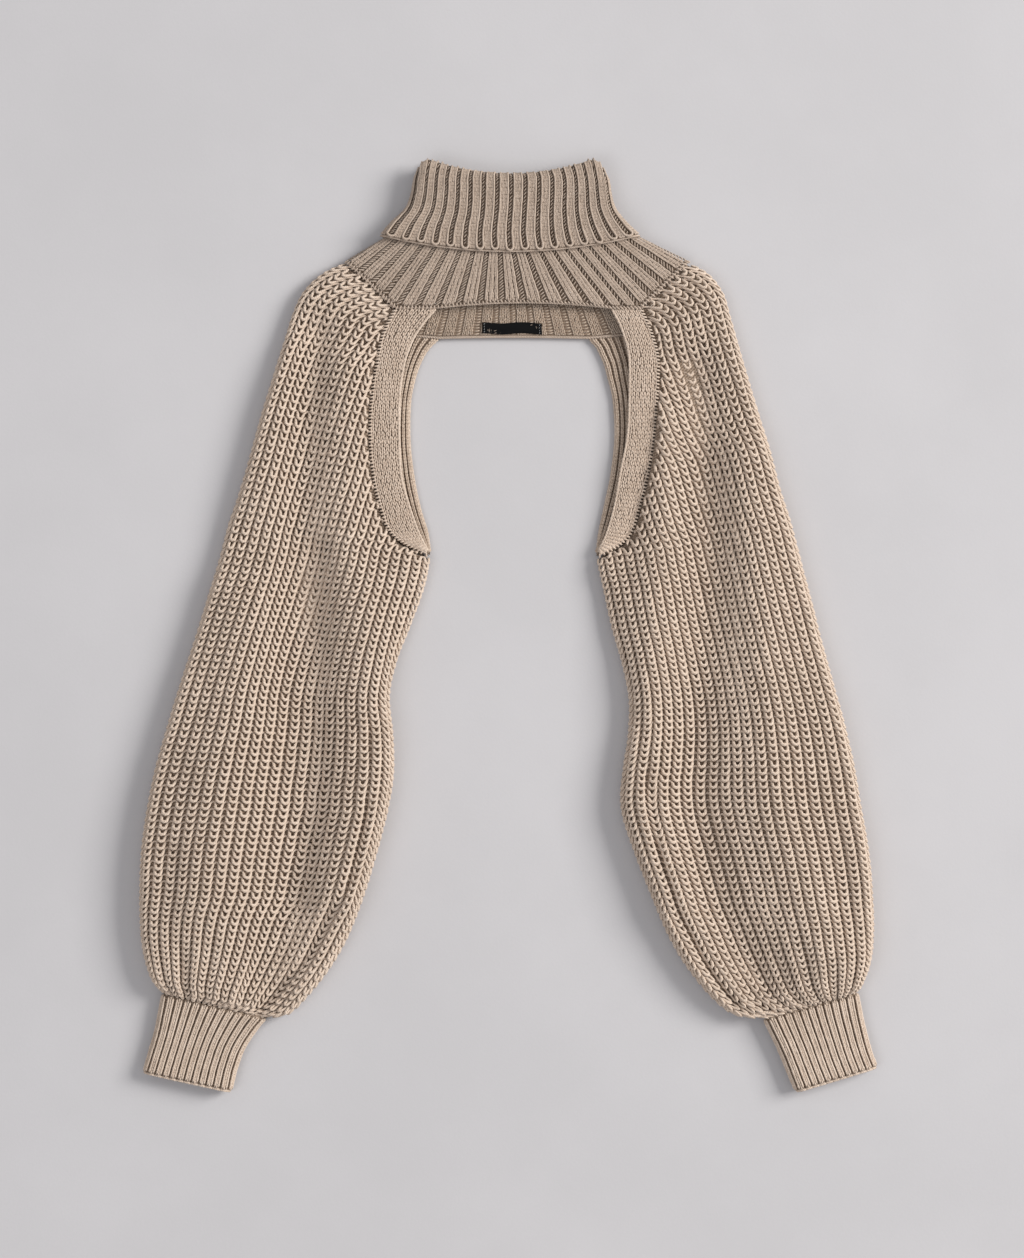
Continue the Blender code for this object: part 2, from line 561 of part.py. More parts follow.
def yoke_half(corners, rise, heights, places, lifts, inset):
    """One face of the yoke, as rows from the neck to its lower edge."""
    shoulder_left = towards(SLEEVE_LEFT[0].fold, SLEEVE_LEFT[0].front, inset)
    shoulder_right = towards(SLEEVE_RIGHT[0].fold, SLEEVE_RIGHT[0].front, inset)
    low = yoke_edge((shoulder_left, *corners, shoulder_right), rise, places)
    radius = FOLD_RADIUS - 0.5 * inset
    neck = level_half(STAND[-1], -inset, STAND_HIGH, radius, places, drop=GAP)
    rise_neck = (neck[:, 2] - NECK_MIDDLE) / (STAND_HIGH - NECK_MIDDLE)
    rise_low = edge_rise(low, radius)
    rows = []
    for share, height, middle in zip(YOKE_ROWS, heights, YOKE_MIDDLES):
        reach = share * (1.0 - 2.0 * GAP / YOKE_DEPTH)
        plan = neck[:, :2] * (1.0 - reach) + low * reach
        turned = rise_neck * (1.0 - share) + rise_low * share
        points = np.column_stack([plan, middle + (height - middle) * turned])
        rows.append(raised(points, lifts))
    return rows


def add_yoke(material, collection):
    """The yoke: a ribbed ring, flattened, from the neck seam to the hems and the sleeve seams."""
    top_left, top_right = SLEEVE_LEFT[0], SLEEVE_RIGHT[0]
    front = (top_left.front, BAND_FRONT_LEFT[0], BAND_FRONT_RIGHT[0], top_right.front)
    back = (top_left.back, BAND_BACK_LEFT[0], BAND_BACK_RIGHT[0], top_right.back)
    ribbed, lifts = rib_positions()
    plain = plain_positions()
    flat = np.zeros(len(plain))
    under = [height - CLOTH for height in YOKE_FRONT_HEIGHTS]
    over = [height + CLOTH for height in YOKE_BACK_HEIGHTS]
    front_out = yoke_half(front, HEM_FRONT_RISE, YOKE_FRONT_HEIGHTS, ribbed, RIB * lifts, 0.0)
    front_in = yoke_half(front, HEM_FRONT_RISE, under, plain, flat, CLOTH)
    back_out = yoke_half(back, HEM_BACK_RISE, YOKE_BACK_HEIGHTS, plain, flat, 0.0)
    back_in = yoke_half(back, HEM_BACK_RISE, over, ribbed, INNER_RIB * RIB * lifts, CLOTH)
    outer = [np.concatenate([f, b[::-1][1:]]) for f, b in zip(front_out, back_out)]
    inner = [np.concatenate([f, b[::-1][1:]]) for f, b in zip(front_in, back_in)]
    turns = len(ribbed) - 1, len(plain) - 1
    return add_piece("yoke", *wall(outer, inner, turns, 0), material, collection)


def add_label(material, collection):
    """A plain woven strip on the inside of the back yoke."""
    base = CLOTH + INNER_RIB * RIB + LABEL_CLEARANCE
    bpy.ops.mesh.primitive_cube_add(size=1.0)
    label = bpy.context.object
    label.name = label.data.name = "label"
    label.data.transform(Matrix.Diagonal((*[side * MM for side in LABEL_SIZE], 1.0)))
    label.location = (LABEL_CENTRE[0] * MM, LABEL_CENTRE[1] * MM, (base + LABEL_SIZE[2] / 2.0) * MM)
    label.data.materials.append(material)
    for holder in list(label.users_collection):
        holder.objects.unlink(label)
    collection.objects.link(label)
    return label


def main():
    """Builds the garment into its own collection."""
    clear_scene()
    garment = bpy.data.collections.new("knitted_shrug")
    bpy.context.scene.collection.children.link(garment)
    add_collar(cloth_material("collar_knit", OATMEAL, KNIT_ROUGHNESS), garment)
    add_yoke(cloth_material("yoke_knit", OATMEAL, KNIT_ROUGHNESS), garment)
    for side in SIDES:
        knit = [
            cloth_material(f"{piece}_{side.name}_knit", colour, KNIT_ROUGHNESS)
            for piece, colour in SIDE_PIECES
        ]
        add_sleeve(side.name, side.sleeve, side.folds, knit[0], garment)
        add_cuff(f"cuff_{side.name}", side.cuff, knit[1], garment)
        front_seam = [row.front for row in side.sleeve[: UNDERARM + 1]]
        back_seam = [row.back for row in side.sleeve[: UNDERARM + 1]]
        add_band(f"band_front_{side.name}", front_seam, side.front_free, BAND_FRONT, knit[2], garment)
        add_band(f"band_back_{side.name}", back_seam, side.back_free, BAND_BACK, knit[3], garment)
    add_label(cloth_material("label_weave", LABEL_BLACK, LABEL_ROUGHNESS), garment)


main()
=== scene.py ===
"""Knitted shrug laid flat on a pale floor, every piece in its own stitches.

The garment lies on z = 0 with its front up and its neck towards +Y. "left" and "right" are the sides
as it lies, -X and +X. Sizes and tables are in millimetres and turned to metres as a mesh is made.

Each piece of cloth is a grid of points with the way that each one faces. A thin shell of the cloth's
ground follows the grid, and the yarn is laid over it stitch by stitch.
"""

import logging
import math
from dataclasses import dataclass, field, replace
from enum import Enum
from typing import Any, Callable, NamedTuple, Sequence

import bmesh
import bpy
import numpy as np
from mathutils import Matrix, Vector


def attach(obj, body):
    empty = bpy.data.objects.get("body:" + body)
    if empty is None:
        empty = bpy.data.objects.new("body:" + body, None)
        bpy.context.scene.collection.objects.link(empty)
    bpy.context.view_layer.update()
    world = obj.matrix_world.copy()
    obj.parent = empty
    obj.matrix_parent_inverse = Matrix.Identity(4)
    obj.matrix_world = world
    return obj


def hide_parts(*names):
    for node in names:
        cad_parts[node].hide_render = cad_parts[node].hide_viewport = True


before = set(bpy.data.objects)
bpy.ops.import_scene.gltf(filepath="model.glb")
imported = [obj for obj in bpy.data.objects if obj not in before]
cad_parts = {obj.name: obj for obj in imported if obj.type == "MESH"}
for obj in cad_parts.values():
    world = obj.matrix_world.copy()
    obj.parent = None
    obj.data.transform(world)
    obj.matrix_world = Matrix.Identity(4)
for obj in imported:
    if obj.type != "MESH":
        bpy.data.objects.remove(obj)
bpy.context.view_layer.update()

log = logging.getLogger("knitted_shrug")

Array = np.ndarray
Generator = np.random.Generator
Material = bpy.types.Material
Socket = bpy.types.NodeSocket
Colour = tuple[float, float, float]
Pair = tuple[float, float]
Plan = Pair  # a point seen from above

MM = 0.001  # metres in a millimetre
GAP = 0.35  # between two pieces at a seam
CLOTH = 2.8  # heavy knit without its raised ribs
FINE_CLOTH = 3.0
FOLD_RADIUS = 8.0  # how softly a tube turns at its side folds
MIDDLE = 6.0  # height of the side folds
SAMPLES = 61  # points that a row is measured with
DENSE = 6  # rows made between two rows of a table
SLEEVE_WALES = 21
CUFF_RIBS = 13
NECK_RIBS = 20
COLLAR_RIBS = 18
NECK_COLUMNS = 12  # columns of cloth to a rib of the neck or the yoke
CUFF_COLUMNS = 6  # to a rib of a cuff
BAND_COLUMNS = 8  # to a rib of a band
QUARTERS = 4  # rows to a course and columns to a wale in a sleeve's cloth
NECK_HIGH = 16.4  # height of the neck's seam at the front
NECK_LOW = 3.6  # and at the back
UNDERARM = 10  # the row where the front and the back of a sleeve close


class Row(NamedTuple):
    """A row across a flattened tube, in plan, with the height of its crown and of its inner edge."""

    fold: Plan
    front: Plan
    back: Plan
    crown: float
    edge: float


def joined(fold: Plan, inner: Plan, crown: float, edge: float) -> Row:
    """A row whose front and back end at the same inner edge."""
    return Row(fold, inner, inner, crown, edge)


class Trough(NamedTuple):
    """A crease in the face of a sleeve: its path in plan, half width and lift.

    slack says how far the stitches in it lie flat, from 0 to 1.
    """

    path: tuple[Plan, ...]
    half_width: float
    lift: float
    slack: float = 0.0


class Level(NamedTuple):
    """A level of the neck in plan. A middle_y lower than side_y bows it down."""

    centre_x: float
    half_width: float
    side_y: float
    middle_y: float


SLEEVE_LEFT = (
    Row((-146.0, 328.5), (-101.0, 285.5), (-98.5, 262.0), 13.6, 12.4),
    Row((-167.0, 318.5), (-107.5, 273.5), (-99.5, 253.0), 14.2, 12.3),
    Row((-184.0, 302.5), (-112.0, 263.0), (-100.5, 245.0), 15.0, 12.2),
    Row((-194.0, 282.5), (-115.0, 252.0), (-102.0, 236.0), 15.6, 12.0),
    Row((-201.0, 259.0), (-117.5, 237.5), (-104.0, 223.0), 16.2, 11.9),
    Row((-211.0, 227.0), (-122.0, 209.0), (-106.5, 199.0), 16.8, 11.7),
    Row((-222.0, 191.0), (-124.0, 173.0), (-107.5, 167.5), 17.2, 11.5),
    Row((-232.0, 155.0), (-121.0, 135.0), (-105.0, 131.5), 17.6, 11.3),
    Row((-241.0, 124.0), (-114.0, 105.5), (-98.5, 103.5), 18.0, 11.0),
    Row((-247.0, 105.5), (-103.0, 82.0), (-89.5, 82.0), 18.2, 10.4),
    joined((-251.5, 92.5), (-69.0, 62.0), 18.4, 11.0),
    joined((-261.5, 55.0), (-75.0, 34.0), 19.0, 13.0),
    joined((-272.0, 20.5), (-87.0, 1.0), 20.0, 14.5),
    joined((-283.0, -14.5), (-99.5, -30.5), 21.0, 15.5),
    joined((-295.0, -51.5), (-106.5, -64.0), 22.0, 16.0),
    joined((-306.5, -89.0), (-103.0, -100.0), 23.0, 16.5),
    joined((-317.0, -126.0), (-103.0, -134.0), 24.0, 17.5),
    joined((-324.5, -162.0), (-108.5, -167.5), 25.0, 18.5),
    joined((-330.0, -201.5), (-118.5, -206.0), 25.5, 19.0),
    joined((-331.5, -237.5), (-131.0, -246.5), 25.5, 19.5),
    joined((-331.0, -270.0), (-146.0, -283.5), 25.0, 20.0),
    joined((-328.0, -295.0), (-164.0, -313.0), 23.5, 20.0),
    joined((-322.0, -316.0), (-184.0, -337.5), 21.5, 19.0),
    joined((-315.5, -326.0), (-198.5, -350.0), 18.5, 17.5),
    joined((-310.0, -330.5), (-217.5, -352.0), 14.6, 14.6),
)
SLEEVE_RIGHT = (
    Row((163.5, 328.5), (120.0, 285.5), (109.5, 262.0), 13.6, 12.4),
    Row((182.0, 317.5), (125.5, 273.5), (111.0, 253.0), 14.2, 12.3),
    Row((195.0, 300.5), (130.0, 262.0), (113.0, 245.0), 15.0, 12.2),
    Row((201.0, 281.0), (133.5, 250.0), (115.0, 236.0), 15.6, 12.0),
    Row((207.5, 257.5), (135.5, 237.5), (116.5, 223.0), 16.2, 11.9),
    Row((216.5, 227.0), (134.5, 209.0), (119.0, 199.0), 16.8, 11.7),
    Row((227.0, 191.0), (132.0, 173.0), (119.0, 167.5), 17.2, 11.5),
    Row((238.0, 155.0), (126.5, 137.0), (115.5, 133.0), 17.6, 11.3),
    Row((246.0, 124.0), (119.0, 108.0), (108.5, 106.0), 18.0, 11.0),
    Row((252.5, 103.5), (108.5, 80.0), (97.0, 81.0), 18.2, 10.4),
    joined((257.0, 89.0), (79.5, 61.0), 18.4, 11.0),
    joined((266.0, 54.0), (86.0, 32.5), 19.0, 13.0),
    joined((275.0, 20.0), (94.0, -2.0), 20.0, 14.5),
    joined((284.0, -15.5), (102.5, -30.5), 21.0, 15.5),
    joined((294.0, -52.0), (109.5, -64.0), 22.0, 16.0),
    joined((304.5, -90.0), (109.0, -98.0), 23.0, 16.5),
    joined((313.0, -128.0), (104.0, -131.5), 24.0, 17.5),
    joined((319.0, -164.0), (102.5, -164.0), 25.0, 18.5),
    joined((325.5, -201.5), (114.0, -202.0), 25.5, 19.0),
    joined((329.0, -239.5), (130.0, -243.0), 25.5, 19.5),
    joined((330.0, -273.5), (147.0, -282.5), 25.0, 20.0),
    joined((328.0, -299.0), (167.0, -314.0), 23.5, 20.0),
    joined((322.5, -317.0), (189.5, -339.5), 21.5, 19.0),
    joined((319.0, -325.0), (207.5, -351.0), 18.5, 17.5),
    joined((314.5, -329.5), (231.0, -353.0), 14.6, 14.6),
)
CUFF_LEFT = (
    joined((-310.2, -331.0), (-218.0, -352.6), 14.2, 14.2),
    joined((-313.0, -345.5), (-226.5, -362.5), 13.4, 13.4),
    joined((-317.0, -365.5), (-238.0, -380.0), 12.8, 12.8),
    joined((-322.5, -384.5), (-245.0, -399.0), 12.8, 12.8),
    joined((-327.5, -402.0), (-250.0, -419.0), 13.6, 13.6),
)
CUFF_RIGHT = (
    joined((314.7, -330.0), (231.5, -353.6), 14.2, 14.2),
    joined((318.0, -347.5), (237.0, -365.0), 13.4, 13.4),
    joined((322.5, -367.0), (245.0, -382.0), 12.8, 12.8),
    joined((327.0, -383.5), (252.5, -400.0), 12.8, 12.8),
    joined((332.0, -397.5), (260.5, -419.0), 13.6, 13.6),
)
TROUGHS_LEFT = (
    Trough(((-172.0, 262.0), (-180.0, 203.0), (-185.0, 113.0), (-187.0, 45.0)), 17.0, -8.5),
    Trough(((-141.0, 230.0), (-143.0, 150.0), (-140.0, 60.0)), 18.0, 5.5),
    Trough(((-200.0, 250.0), (-211.0, 190.0), (-222.0, 113.0)), 19.0, 3.5),
    Trough(
        ((-187.0, 15.0), (-193.0, -66.0), (-194.0, -157.0), (-201.0, -247.0), (-217.0, -318.0)),
        24.0,
        -11.5,
    ),
    Trough(((-168.0, 70.0), (-169.0, 0.0), (-170.0, -66.0), (-172.0, -157.0), (-186.0, -247.0)), 13.0, -5.0),
    Trough(((-128.0, 20.0), (-123.0, -66.0), (-124.0, -157.0), (-143.0, -240.0)), 25.0, 10.0),
    Trough(((-233.0, 23.0), (-243.0, -66.0), (-254.0, -157.0), (-265.0, -247.0)), 26.0, 7.0),
    Trough(((-268.0, -110.0), (-282.0, -190.0), (-292.0, -265.0)), 24.0, 4.2),
    Trough(
        (
            (-170.0, 280.0), (-170.5, 176.0), (-170.0, 60.0),
            (-168.0, -66.0), (-170.0, -183.0), (-192.0, -290.0),
        ),
        16.0,
        -0.6,
        0.9,
    ),
    Trough(
        (
            (-124.7, -158.4), (-130.4, -192.6), (-139.6, -227.0), (-149.9, -244.0), (-161.6, -264.6),
            (-175.0, -290.7), (-187.7, -307.8), (-199.4, -320.4), (-212.0, -335.7), (-222.8, -344.7),
        ),
        4.2,
        -5.0,
    ),
    Trough(((-78.0, 40.0), (-97.0, -12.0), (-112.0, -60.0), (-124.0, -110.0)), 6.0, -2.2),
    Trough(((-300.0, -200.0), (-300.0, -262.0), (-290.0, -322.0)), 9.0, -1.8),
)
TROUGHS_RIGHT = (
    Trough(
        (
            (166.0, 230.0), (177.0, 130.0), (181.0, 23.0), (174.0, -66.0),
            (172.0, -157.0), (190.0, -247.0), (226.0, -315.0),
        ),
        24.0,
        -11.5,
    ),
    Trough(
        ((143.0, 190.0), (138.0, 110.0), (132.0, 23.0), (126.0, -67.0), (124.0, -157.0), (152.0, -247.0)),
        19.0,
        6.0,
    ),
    Trough(
        ((212.0, 150.0), (229.0, 40.0), (236.0, -67.0), (240.0, -157.0), (268.0, -247.0), (296.0, -300.0)),
        25.0,
        6.5,
    ),
    Trough(
        ((172.0, 270.0), (196.0, 132.0), (206.0, -12.0), (210.0, -156.0), (236.0, -260.0)),
        15.0,
        -0.6,
        0.7,
    ),
    Trough(
        (
            (125.6, -134.0), (131.2, -169.0), (137.9, -210.6), (148.0, -240.0), (156.2, -262.8),
            (169.7, -287.0), (183.0, -310.5), (204.8, -341.0),
        ),
        4.2,
        -5.0,
    ),
    Trough(((90.0, 36.0), (104.0, -14.0), (116.0, -70.0), (124.0, -120.0)), 6.0, -2.2),
    Trough(((298.0, -200.0), (303.0, -262.0), (296.0, -320.0)), 9.0, -1.8),
)
FRONT_EDGE_LEFT = (
    (-64.5, 285.5), (-75.0, 273.5), (-83.0, 262.0), (-88.5, 250.0), (-93.0, 236.0), (-97.0, 209.0),
    (-97.5, 171.0), (-96.0, 137.0), (-88.5, 108.0), (-79.5, 83.0), (-71.5, 67.5),
)
FRONT_EDGE_RIGHT = (
    (94.0, 285.5), (100.5, 273.5), (105.0, 262.0), (108.5, 250.0), (110.0, 236.0), (110.0, 209.0),
    (108.5, 173.0), (102.0, 138.5), (97.0, 110.0), (89.5, 83.5), (81.5, 66.5),
)
BACK_EDGE_LEFT = (
    (-62.5, 259.0), (-70.0, 252.0), (-75.0, 245.0), (-79.5, 236.0), (-84.0, 222.5), (-88.0, 201.5),
    (-88.5, 167.5), (-85.0, 135.0), (-79.0, 106.0), (-72.5, 84.5), (-70.0, 66.5),
)
BACK_EDGE_RIGHT = (
    (74.0, 259.0), (80.5, 252.0), (84.0, 245.0), (88.0, 236.0), (91.5, 223.0), (96.0, 203.5),
    (97.5, 170.0), (94.0, 137.0), (88.5, 110.5), (83.0, 84.5), (80.5, 65.5),
)


class Side(Enum):
    """The two sides of the garment as it lies."""

    LEFT = "left"
    RIGHT = "right"


class Face(Enum):
    """The two faces of a flattened tube."""

    FRONT = "front"
    BACK = "back"


# ---------------------------------------------------------------- curves and grids


def smooth_rows(table: Array, places: Array) -> Array:
    """Values on a smooth curve through the rows of a table.

    Args:
        table: One row of values for each knot.
        places: Where the values are wanted, counted in rows of the table.

    Returns:
        One row of values for each place.
    """
    last = len(table) - 1
    start = np.clip(np.floor(places).astype(int), 0, last - 1)
    step = (places - start)[:, None]
    padded = np.vstack([2.0 * table[0] - table[1], table, 2.0 * table[-1] - table[-2]])
    before, first, second, after = (padded[start + shift] for shift in range(4))
    linear = (second - before) * step
    square = (2.0 * before - 5.0 * first + 4.0 * second - after) * step**2
    cube = (3.0 * (first - second) + after - before) * step**3
    return first + 0.5 * (linear + square + cube)


def fold_rise(distance: Array, radius: float) -> Array:
    """Share of its height that cloth has reached beside a fold.

    Args:
        distance: Distance in plan from the fold.
        radius: How far from the fold the cloth lies flat.

    Returns:
        0 on the fold, rising along a quarter circle to 1.
    """
    reach = np.clip(distance / radius, 0.0, 1.0)
    return np.sqrt(1.0 - (1.0 - reach) ** 2)


def troughs_at(plan: Array, troughs: Sequence[Trough]) -> tuple[Array, Array]:
    """How far the creases lower or raise a face, and how flat its stitches lie.

    Args:
        plan: Points in plan, in an array of any shape that ends in 2.
        troughs: The creases.

    Returns:
        The lift and the slack at each point.
    """
    lift = np.zeros(plan.shape[:-1])
    slack = np.zeros(plan.shape[:-1])
    for trough in troughs:
        nearest = np.full(plan.shape[:-1], np.inf)
        knots = np.array(trough.path)
        path = smooth_rows(knots, np.linspace(0.0, len(knots) - 1.0, 6 * len(knots)))
        for start, end in zip(path[:-1], path[1:]):
            step = end - start
            share = np.clip((plan - start) @ step / (step @ step), 0.0, 1.0)
            nearest = np.minimum(nearest, np.linalg.norm(plan - start - share[..., None] * step, axis=-1))
        lift += trough.lift * np.exp(-((nearest / trough.half_width) ** 2))
        slack = np.maximum(slack, trough.slack * np.exp(-((nearest / trough.half_width) ** 2)))
    return lift, slack


def eased(share: Array) -> Array:
    """Shares from 0 to 1 that leave both ends gently."""
    return share**2 * (3.0 - 2.0 * share)


def lengths_along(curves: Array) -> Array:
    """Distance along curves to each of their points.

    Args:
        curves: Points, in an array that ends in (points, 3).

    Returns:
        The distances, in an array of the same shape without its last axis.
    """
    steps = np.linalg.norm(np.diff(curves, axis=-2), axis=-1)
    return np.concatenate([np.zeros((*steps.shape[:-1], 1)), np.cumsum(steps, axis=-1)], axis=-1)


def at_lengths(curve: Array, wanted: Array) -> Array:
    """Points of a sampled curve at the wanted distances along it."""
    along = lengths_along(curve)
    return np.column_stack([np.interp(wanted, along, axis) for axis in curve.T])


def unit(vectors: Array) -> Array:
    """Vectors of length 1 in the same directions."""
    return vectors / np.maximum(np.linalg.norm(vectors, axis=-1, keepdims=True), 1e-9)


def noise_field(shape: tuple[int, int], spread: int, rng: Generator) -> Array:
    """Soft random values over a grid.

    Args:
        shape: Rows and columns of the grid.
        spread: Over how many cells the values stay alike.
        rng: Where the random values come from.

    Returns:
        Values of about -1 to 1.
    """
    rows, columns = shape
    coarse = rng.uniform(-1.0, 1.0, (rows // spread + 4, columns // spread + 4))
    by_row = smooth_rows(coarse, np.linspace(1.0, rows / spread + 1.0, rows))
    return smooth_rows(by_row.T.copy(), np.linspace(1.0, columns / spread + 1.0, columns)).T


@dataclass
class Cloth:
    """A smooth stretch of cloth: rows and columns of points, and the way that each one faces."""

    points: Array
    facing: Array

    @classmethod
    def over(cls, points: Array, flip: bool = False) -> "Cloth":
        """Cloth over a grid of points.

        Args:
            points: Rows and columns of points.
            flip: Turns the side that the cloth shows.

        Returns:
            The cloth.
        """
        along = np.gradient(points, axis=0)
        across = np.gradient(points, axis=1)
        facing = unit(np.cross(along, across))
        return cls(points, -facing if flip else facing)

    def _blend(self, grid: Array, rows: Array, columns: Array) -> Array:
        """Values of a grid between its rows and columns.

        Args:
            grid: Values at the rows and columns.
            rows: Places counted in rows.
            columns: Places counted in columns.

        Returns:
            The values at the places.
        """
        rows = np.clip(rows, 0.0, grid.shape[0] - 1.001)
        columns = np.clip(columns, 0.0, grid.shape[1] - 1.001)
        r = np.floor(rows).astype(int)
        c = np.floor(columns).astype(int)
        down = (rows - r)[..., None]
        over = (columns - c)[..., None]
        upper = grid[r, c] * (1.0 - over) + grid[r, c + 1] * over
        lower = grid[r + 1, c] * (1.0 - over) + grid[r + 1, c + 1] * over
        return upper * (1.0 - down) + lower * down

    def at(self, rows: Array, columns: Array, lift: Array | float) -> tuple[Array, Array]:
        """Points over the cloth.

        Args:
            rows: Places counted in rows.
            columns: Places counted in columns.
            lift: Height of the points over the cloth.

        Returns:
            The points, and the way that the cloth faces below them.
        """
        facing = unit(self._blend(self.facing, rows, columns))
        raised = np.broadcast_to(lift, rows.shape)[..., None] * facing
        return self._blend(self.points, rows, columns) + raised, facing

    def row_at(self, distance: Array) -> Array:
        """Rows at the given mean distances from the first row."""
        return np.interp(distance, self._row_lengths(), np.arange(len(self.points)))

    def length(self) -> float:
        """Mean distance from the first row to the last."""
        return float(self._row_lengths()[-1])

    def part(self, start: int, end: int | None = None) -> "Cloth":
        """The columns from start, up to end."""
        return Cloth(self.points[:, start:end], self.facing[:, start:end])

    def sunk(self, depth: float) -> "Cloth":
        """The cloth as far as this behind itself."""
        return Cloth(self.points - depth * self.facing, self.facing)

    def girths(self) -> Array:
        """Length of each row from its first column to its last."""
        return lengths_along(self.points)[:, -1]

    def meet(self, start: int = 0) -> None:
        """Makes the first and the last column face the same way.

        Args:
            start: The first row in which they do.
        """
        shared = unit(self.facing[start:, 0] + self.facing[start:, -1])
        self.facing[start:, 0] = shared
        self.facing[start:, -1] = shared

    def _row_lengths(self) -> Array:
        """Mean distance from the first row to each row."""
        return lengths_along(self.points.transpose(1, 0, 2)).mean(axis=0)


# ---------------------------------------------------------------- meshes


@dataclass
class Shape:
    """Points and faces gathered for one mesh, with places along and around the yarn."""

    points: list[Array] = field(default_factory=list)
    quads: list[Array] = field(default_factory=list)
    triangles: list[Array] = field(default_factory=list)
    quad_marks: list[Array] = field(default_factory=list)
    triangle_marks: list[Array] = field(default_factory=list)
    count: int = 0

    def add_strands(self, paths: Array, facing: Array, radii: Array, sides: int, flat: float = 1.0) -> None:
        """Adds closed tubes that taper to a point at both ends.

        Args:
            paths: Centre lines, as strands, points, 3.
            facing: The way that the cloth faces at each point.
            radii: Half the yarn's width at each point. Those at the two ends aren't used.
            sides: Sides of a tube.
            flat: Height of the yarn as a share of its width.
        """
        strands, points = paths.shape[:2]
        run = unit(np.gradient(paths, axis=1))
        side = unit(np.cross(facing, run))
        up = np.cross(run, side)
        turn = 2.0 * math.pi * np.arange(sides) / sides
        ring = slice(1, points - 1)
        out = np.cos(turn)[:, None] * side[:, ring, None, :]
        out = out + flat * np.sin(turn)[:, None] * up[:, ring, None, :]
        rings = paths[:, ring, None, :] + radii[:, ring, None, None] * out
        body = rings.reshape(strands, -1, 3)
        self.points.append(np.concatenate([body, paths[:, :1], paths[:, -1:]], axis=1).reshape(-1, 3))

        inner = points - 2
        size = inner * sides + 2
        number = np.arange(inner * sides).reshape(inner, sides)
        after = np.roll(number, -1, axis=1)
        quads = np.stack([number[:-1], after[:-1], after[1:], number[1:]], axis=-1).reshape(-1, 4)
        head = np.stack([np.full(sides, inner * sides), after[0], number[0]], axis=-1)
        tail = np.stack([np.full(sides, inner * sides + 1), number[-1], after[-1]], axis=-1)
        ends = np.concatenate([head, tail])
        base = self.count + size * np.arange(strands)
        self.quads.append((base[:, None, None] + quads).reshape(-1, 4))
        self.triangles.append((base[:, None, None] + ends).reshape(-1, 3))
        self.count += strands * size

        along = lengths_along(paths) + 37.0 * (self.count % 1009) + 11.3 * np.arange(strands)[:, None]
        first = np.repeat(np.arange(inner - 1), sides)
        around = np.tile(np.arange(sides), inner - 1)
        places = np.stack([first, first, first + 1, first + 1], axis=-1) + 1
        turns = np.stack([around, around + 1, around + 1, around], axis=-1) / sides
        marks = np.stack([along[:, places], np.broadcast_to(turns, (strands, *turns.shape))], axis=-1)
        self.quad_marks.append(marks.reshape(-1, 2))
        around = np.arange(sides)
        head_places = np.stack([np.zeros(sides, int), np.ones(sides, int), np.ones(sides, int)], axis=-1)
        tail_places = np.array([points - 1, points - 2, points - 2]) + 0 * head_places
        head_turns = np.stack([around + 0.5, around + 1.0, around], axis=-1) / sides
        tail_turns = np.stack([around + 0.5, around, around + 1.0], axis=-1) / sides
        places = np.concatenate([head_places, tail_places])
        turns = np.concatenate([head_turns, tail_turns])
        marks = np.stack([along[:, places], np.broadcast_to(turns, (strands, *turns.shape))], axis=-1)
        self.triangle_marks.append(marks.reshape(-1, 2))

    def add_grid(self, points: Array) -> Array:
        """Adds a grid of points without faces.

        Args:
            points: Rows and columns of points.

        Returns:
            The points' numbers, as rows and columns.
        """
        rows, columns = points.shape[:2]
        numbers = self.count + np.arange(rows * columns).reshape(rows, columns)
        self.points.append(points.reshape(-1, 3))
        self.count += rows * columns
        return numbers

    def add_faces(self, numbers: Array, spread: Array | None = None) -> None:
        """Adds quads between neighbouring rows and columns.

        Args:
            numbers: Rows and columns of point numbers.
            spread: Place along and across the cloth of each point, in millimetres.
        """
        rows, columns = numbers.shape
        corners = [(slice(0, -1), slice(0, -1)), (slice(0, -1), slice(1, None))]
        corners += [(slice(1, None), slice(1, None)), (slice(1, None), slice(0, -1))]
        self.quads.append(np.stack([numbers[corner] for corner in corners], axis=-1).reshape(-1, 4))
        if spread is None:
            spread = np.stack(np.meshgrid(np.arange(rows), np.arange(columns), indexing="ij"), axis=-1) * 2.0
        marks = np.stack([spread[corner] for corner in corners], axis=2)
        self.quad_marks.append(marks.reshape(-1, 2).astype(float))

    def triangle_count(self) -> int:
        """Triangles in the finished mesh."""
        return 2 * sum(map(len, self.quads)) + sum(map(len, self.triangles))

    def mesh(self, name: str) -> bpy.types.Mesh:
        """The mesh, in metres and smooth.

        Args:
            name: The mesh's name.

        Returns:
            The mesh.
        """
        quads = np.concatenate(self.quads)
        triangles = np.concatenate(self.triangles) if self.triangles else np.zeros((0, 3), int)
        loops = np.concatenate([quads.ravel(), triangles.ravel()]).astype(np.int32)
        totals = np.concatenate([np.full(len(quads), 4), np.full(len(triangles), 3)]).astype(np.int32)
        starts = np.concatenate([[0], np.cumsum(totals)[:-1]]).astype(np.int32)
        made = bpy.data.meshes.new(name)
        made.vertices.add(self.count)
        made.vertices.foreach_set("co", (np.concatenate(self.points) * MM).ravel())
        made.loops.add(len(loops))
        made.loops.foreach_set("vertex_index", loops)
        made.polygons.add(len(totals))
        made.polygons.foreach_set("loop_start", starts)
        made.polygons.foreach_set("loop_total", totals)
        marks = np.concatenate([*self.quad_marks, *self.triangle_marks])
        layer = made.uv_layers.new(name="strand")
        layer.data.foreach_set("uv", (marks * MM * 100.0).ravel())
        made.update(calc_edges=True)
        made.validate()
        made.shade_smooth()
        return made


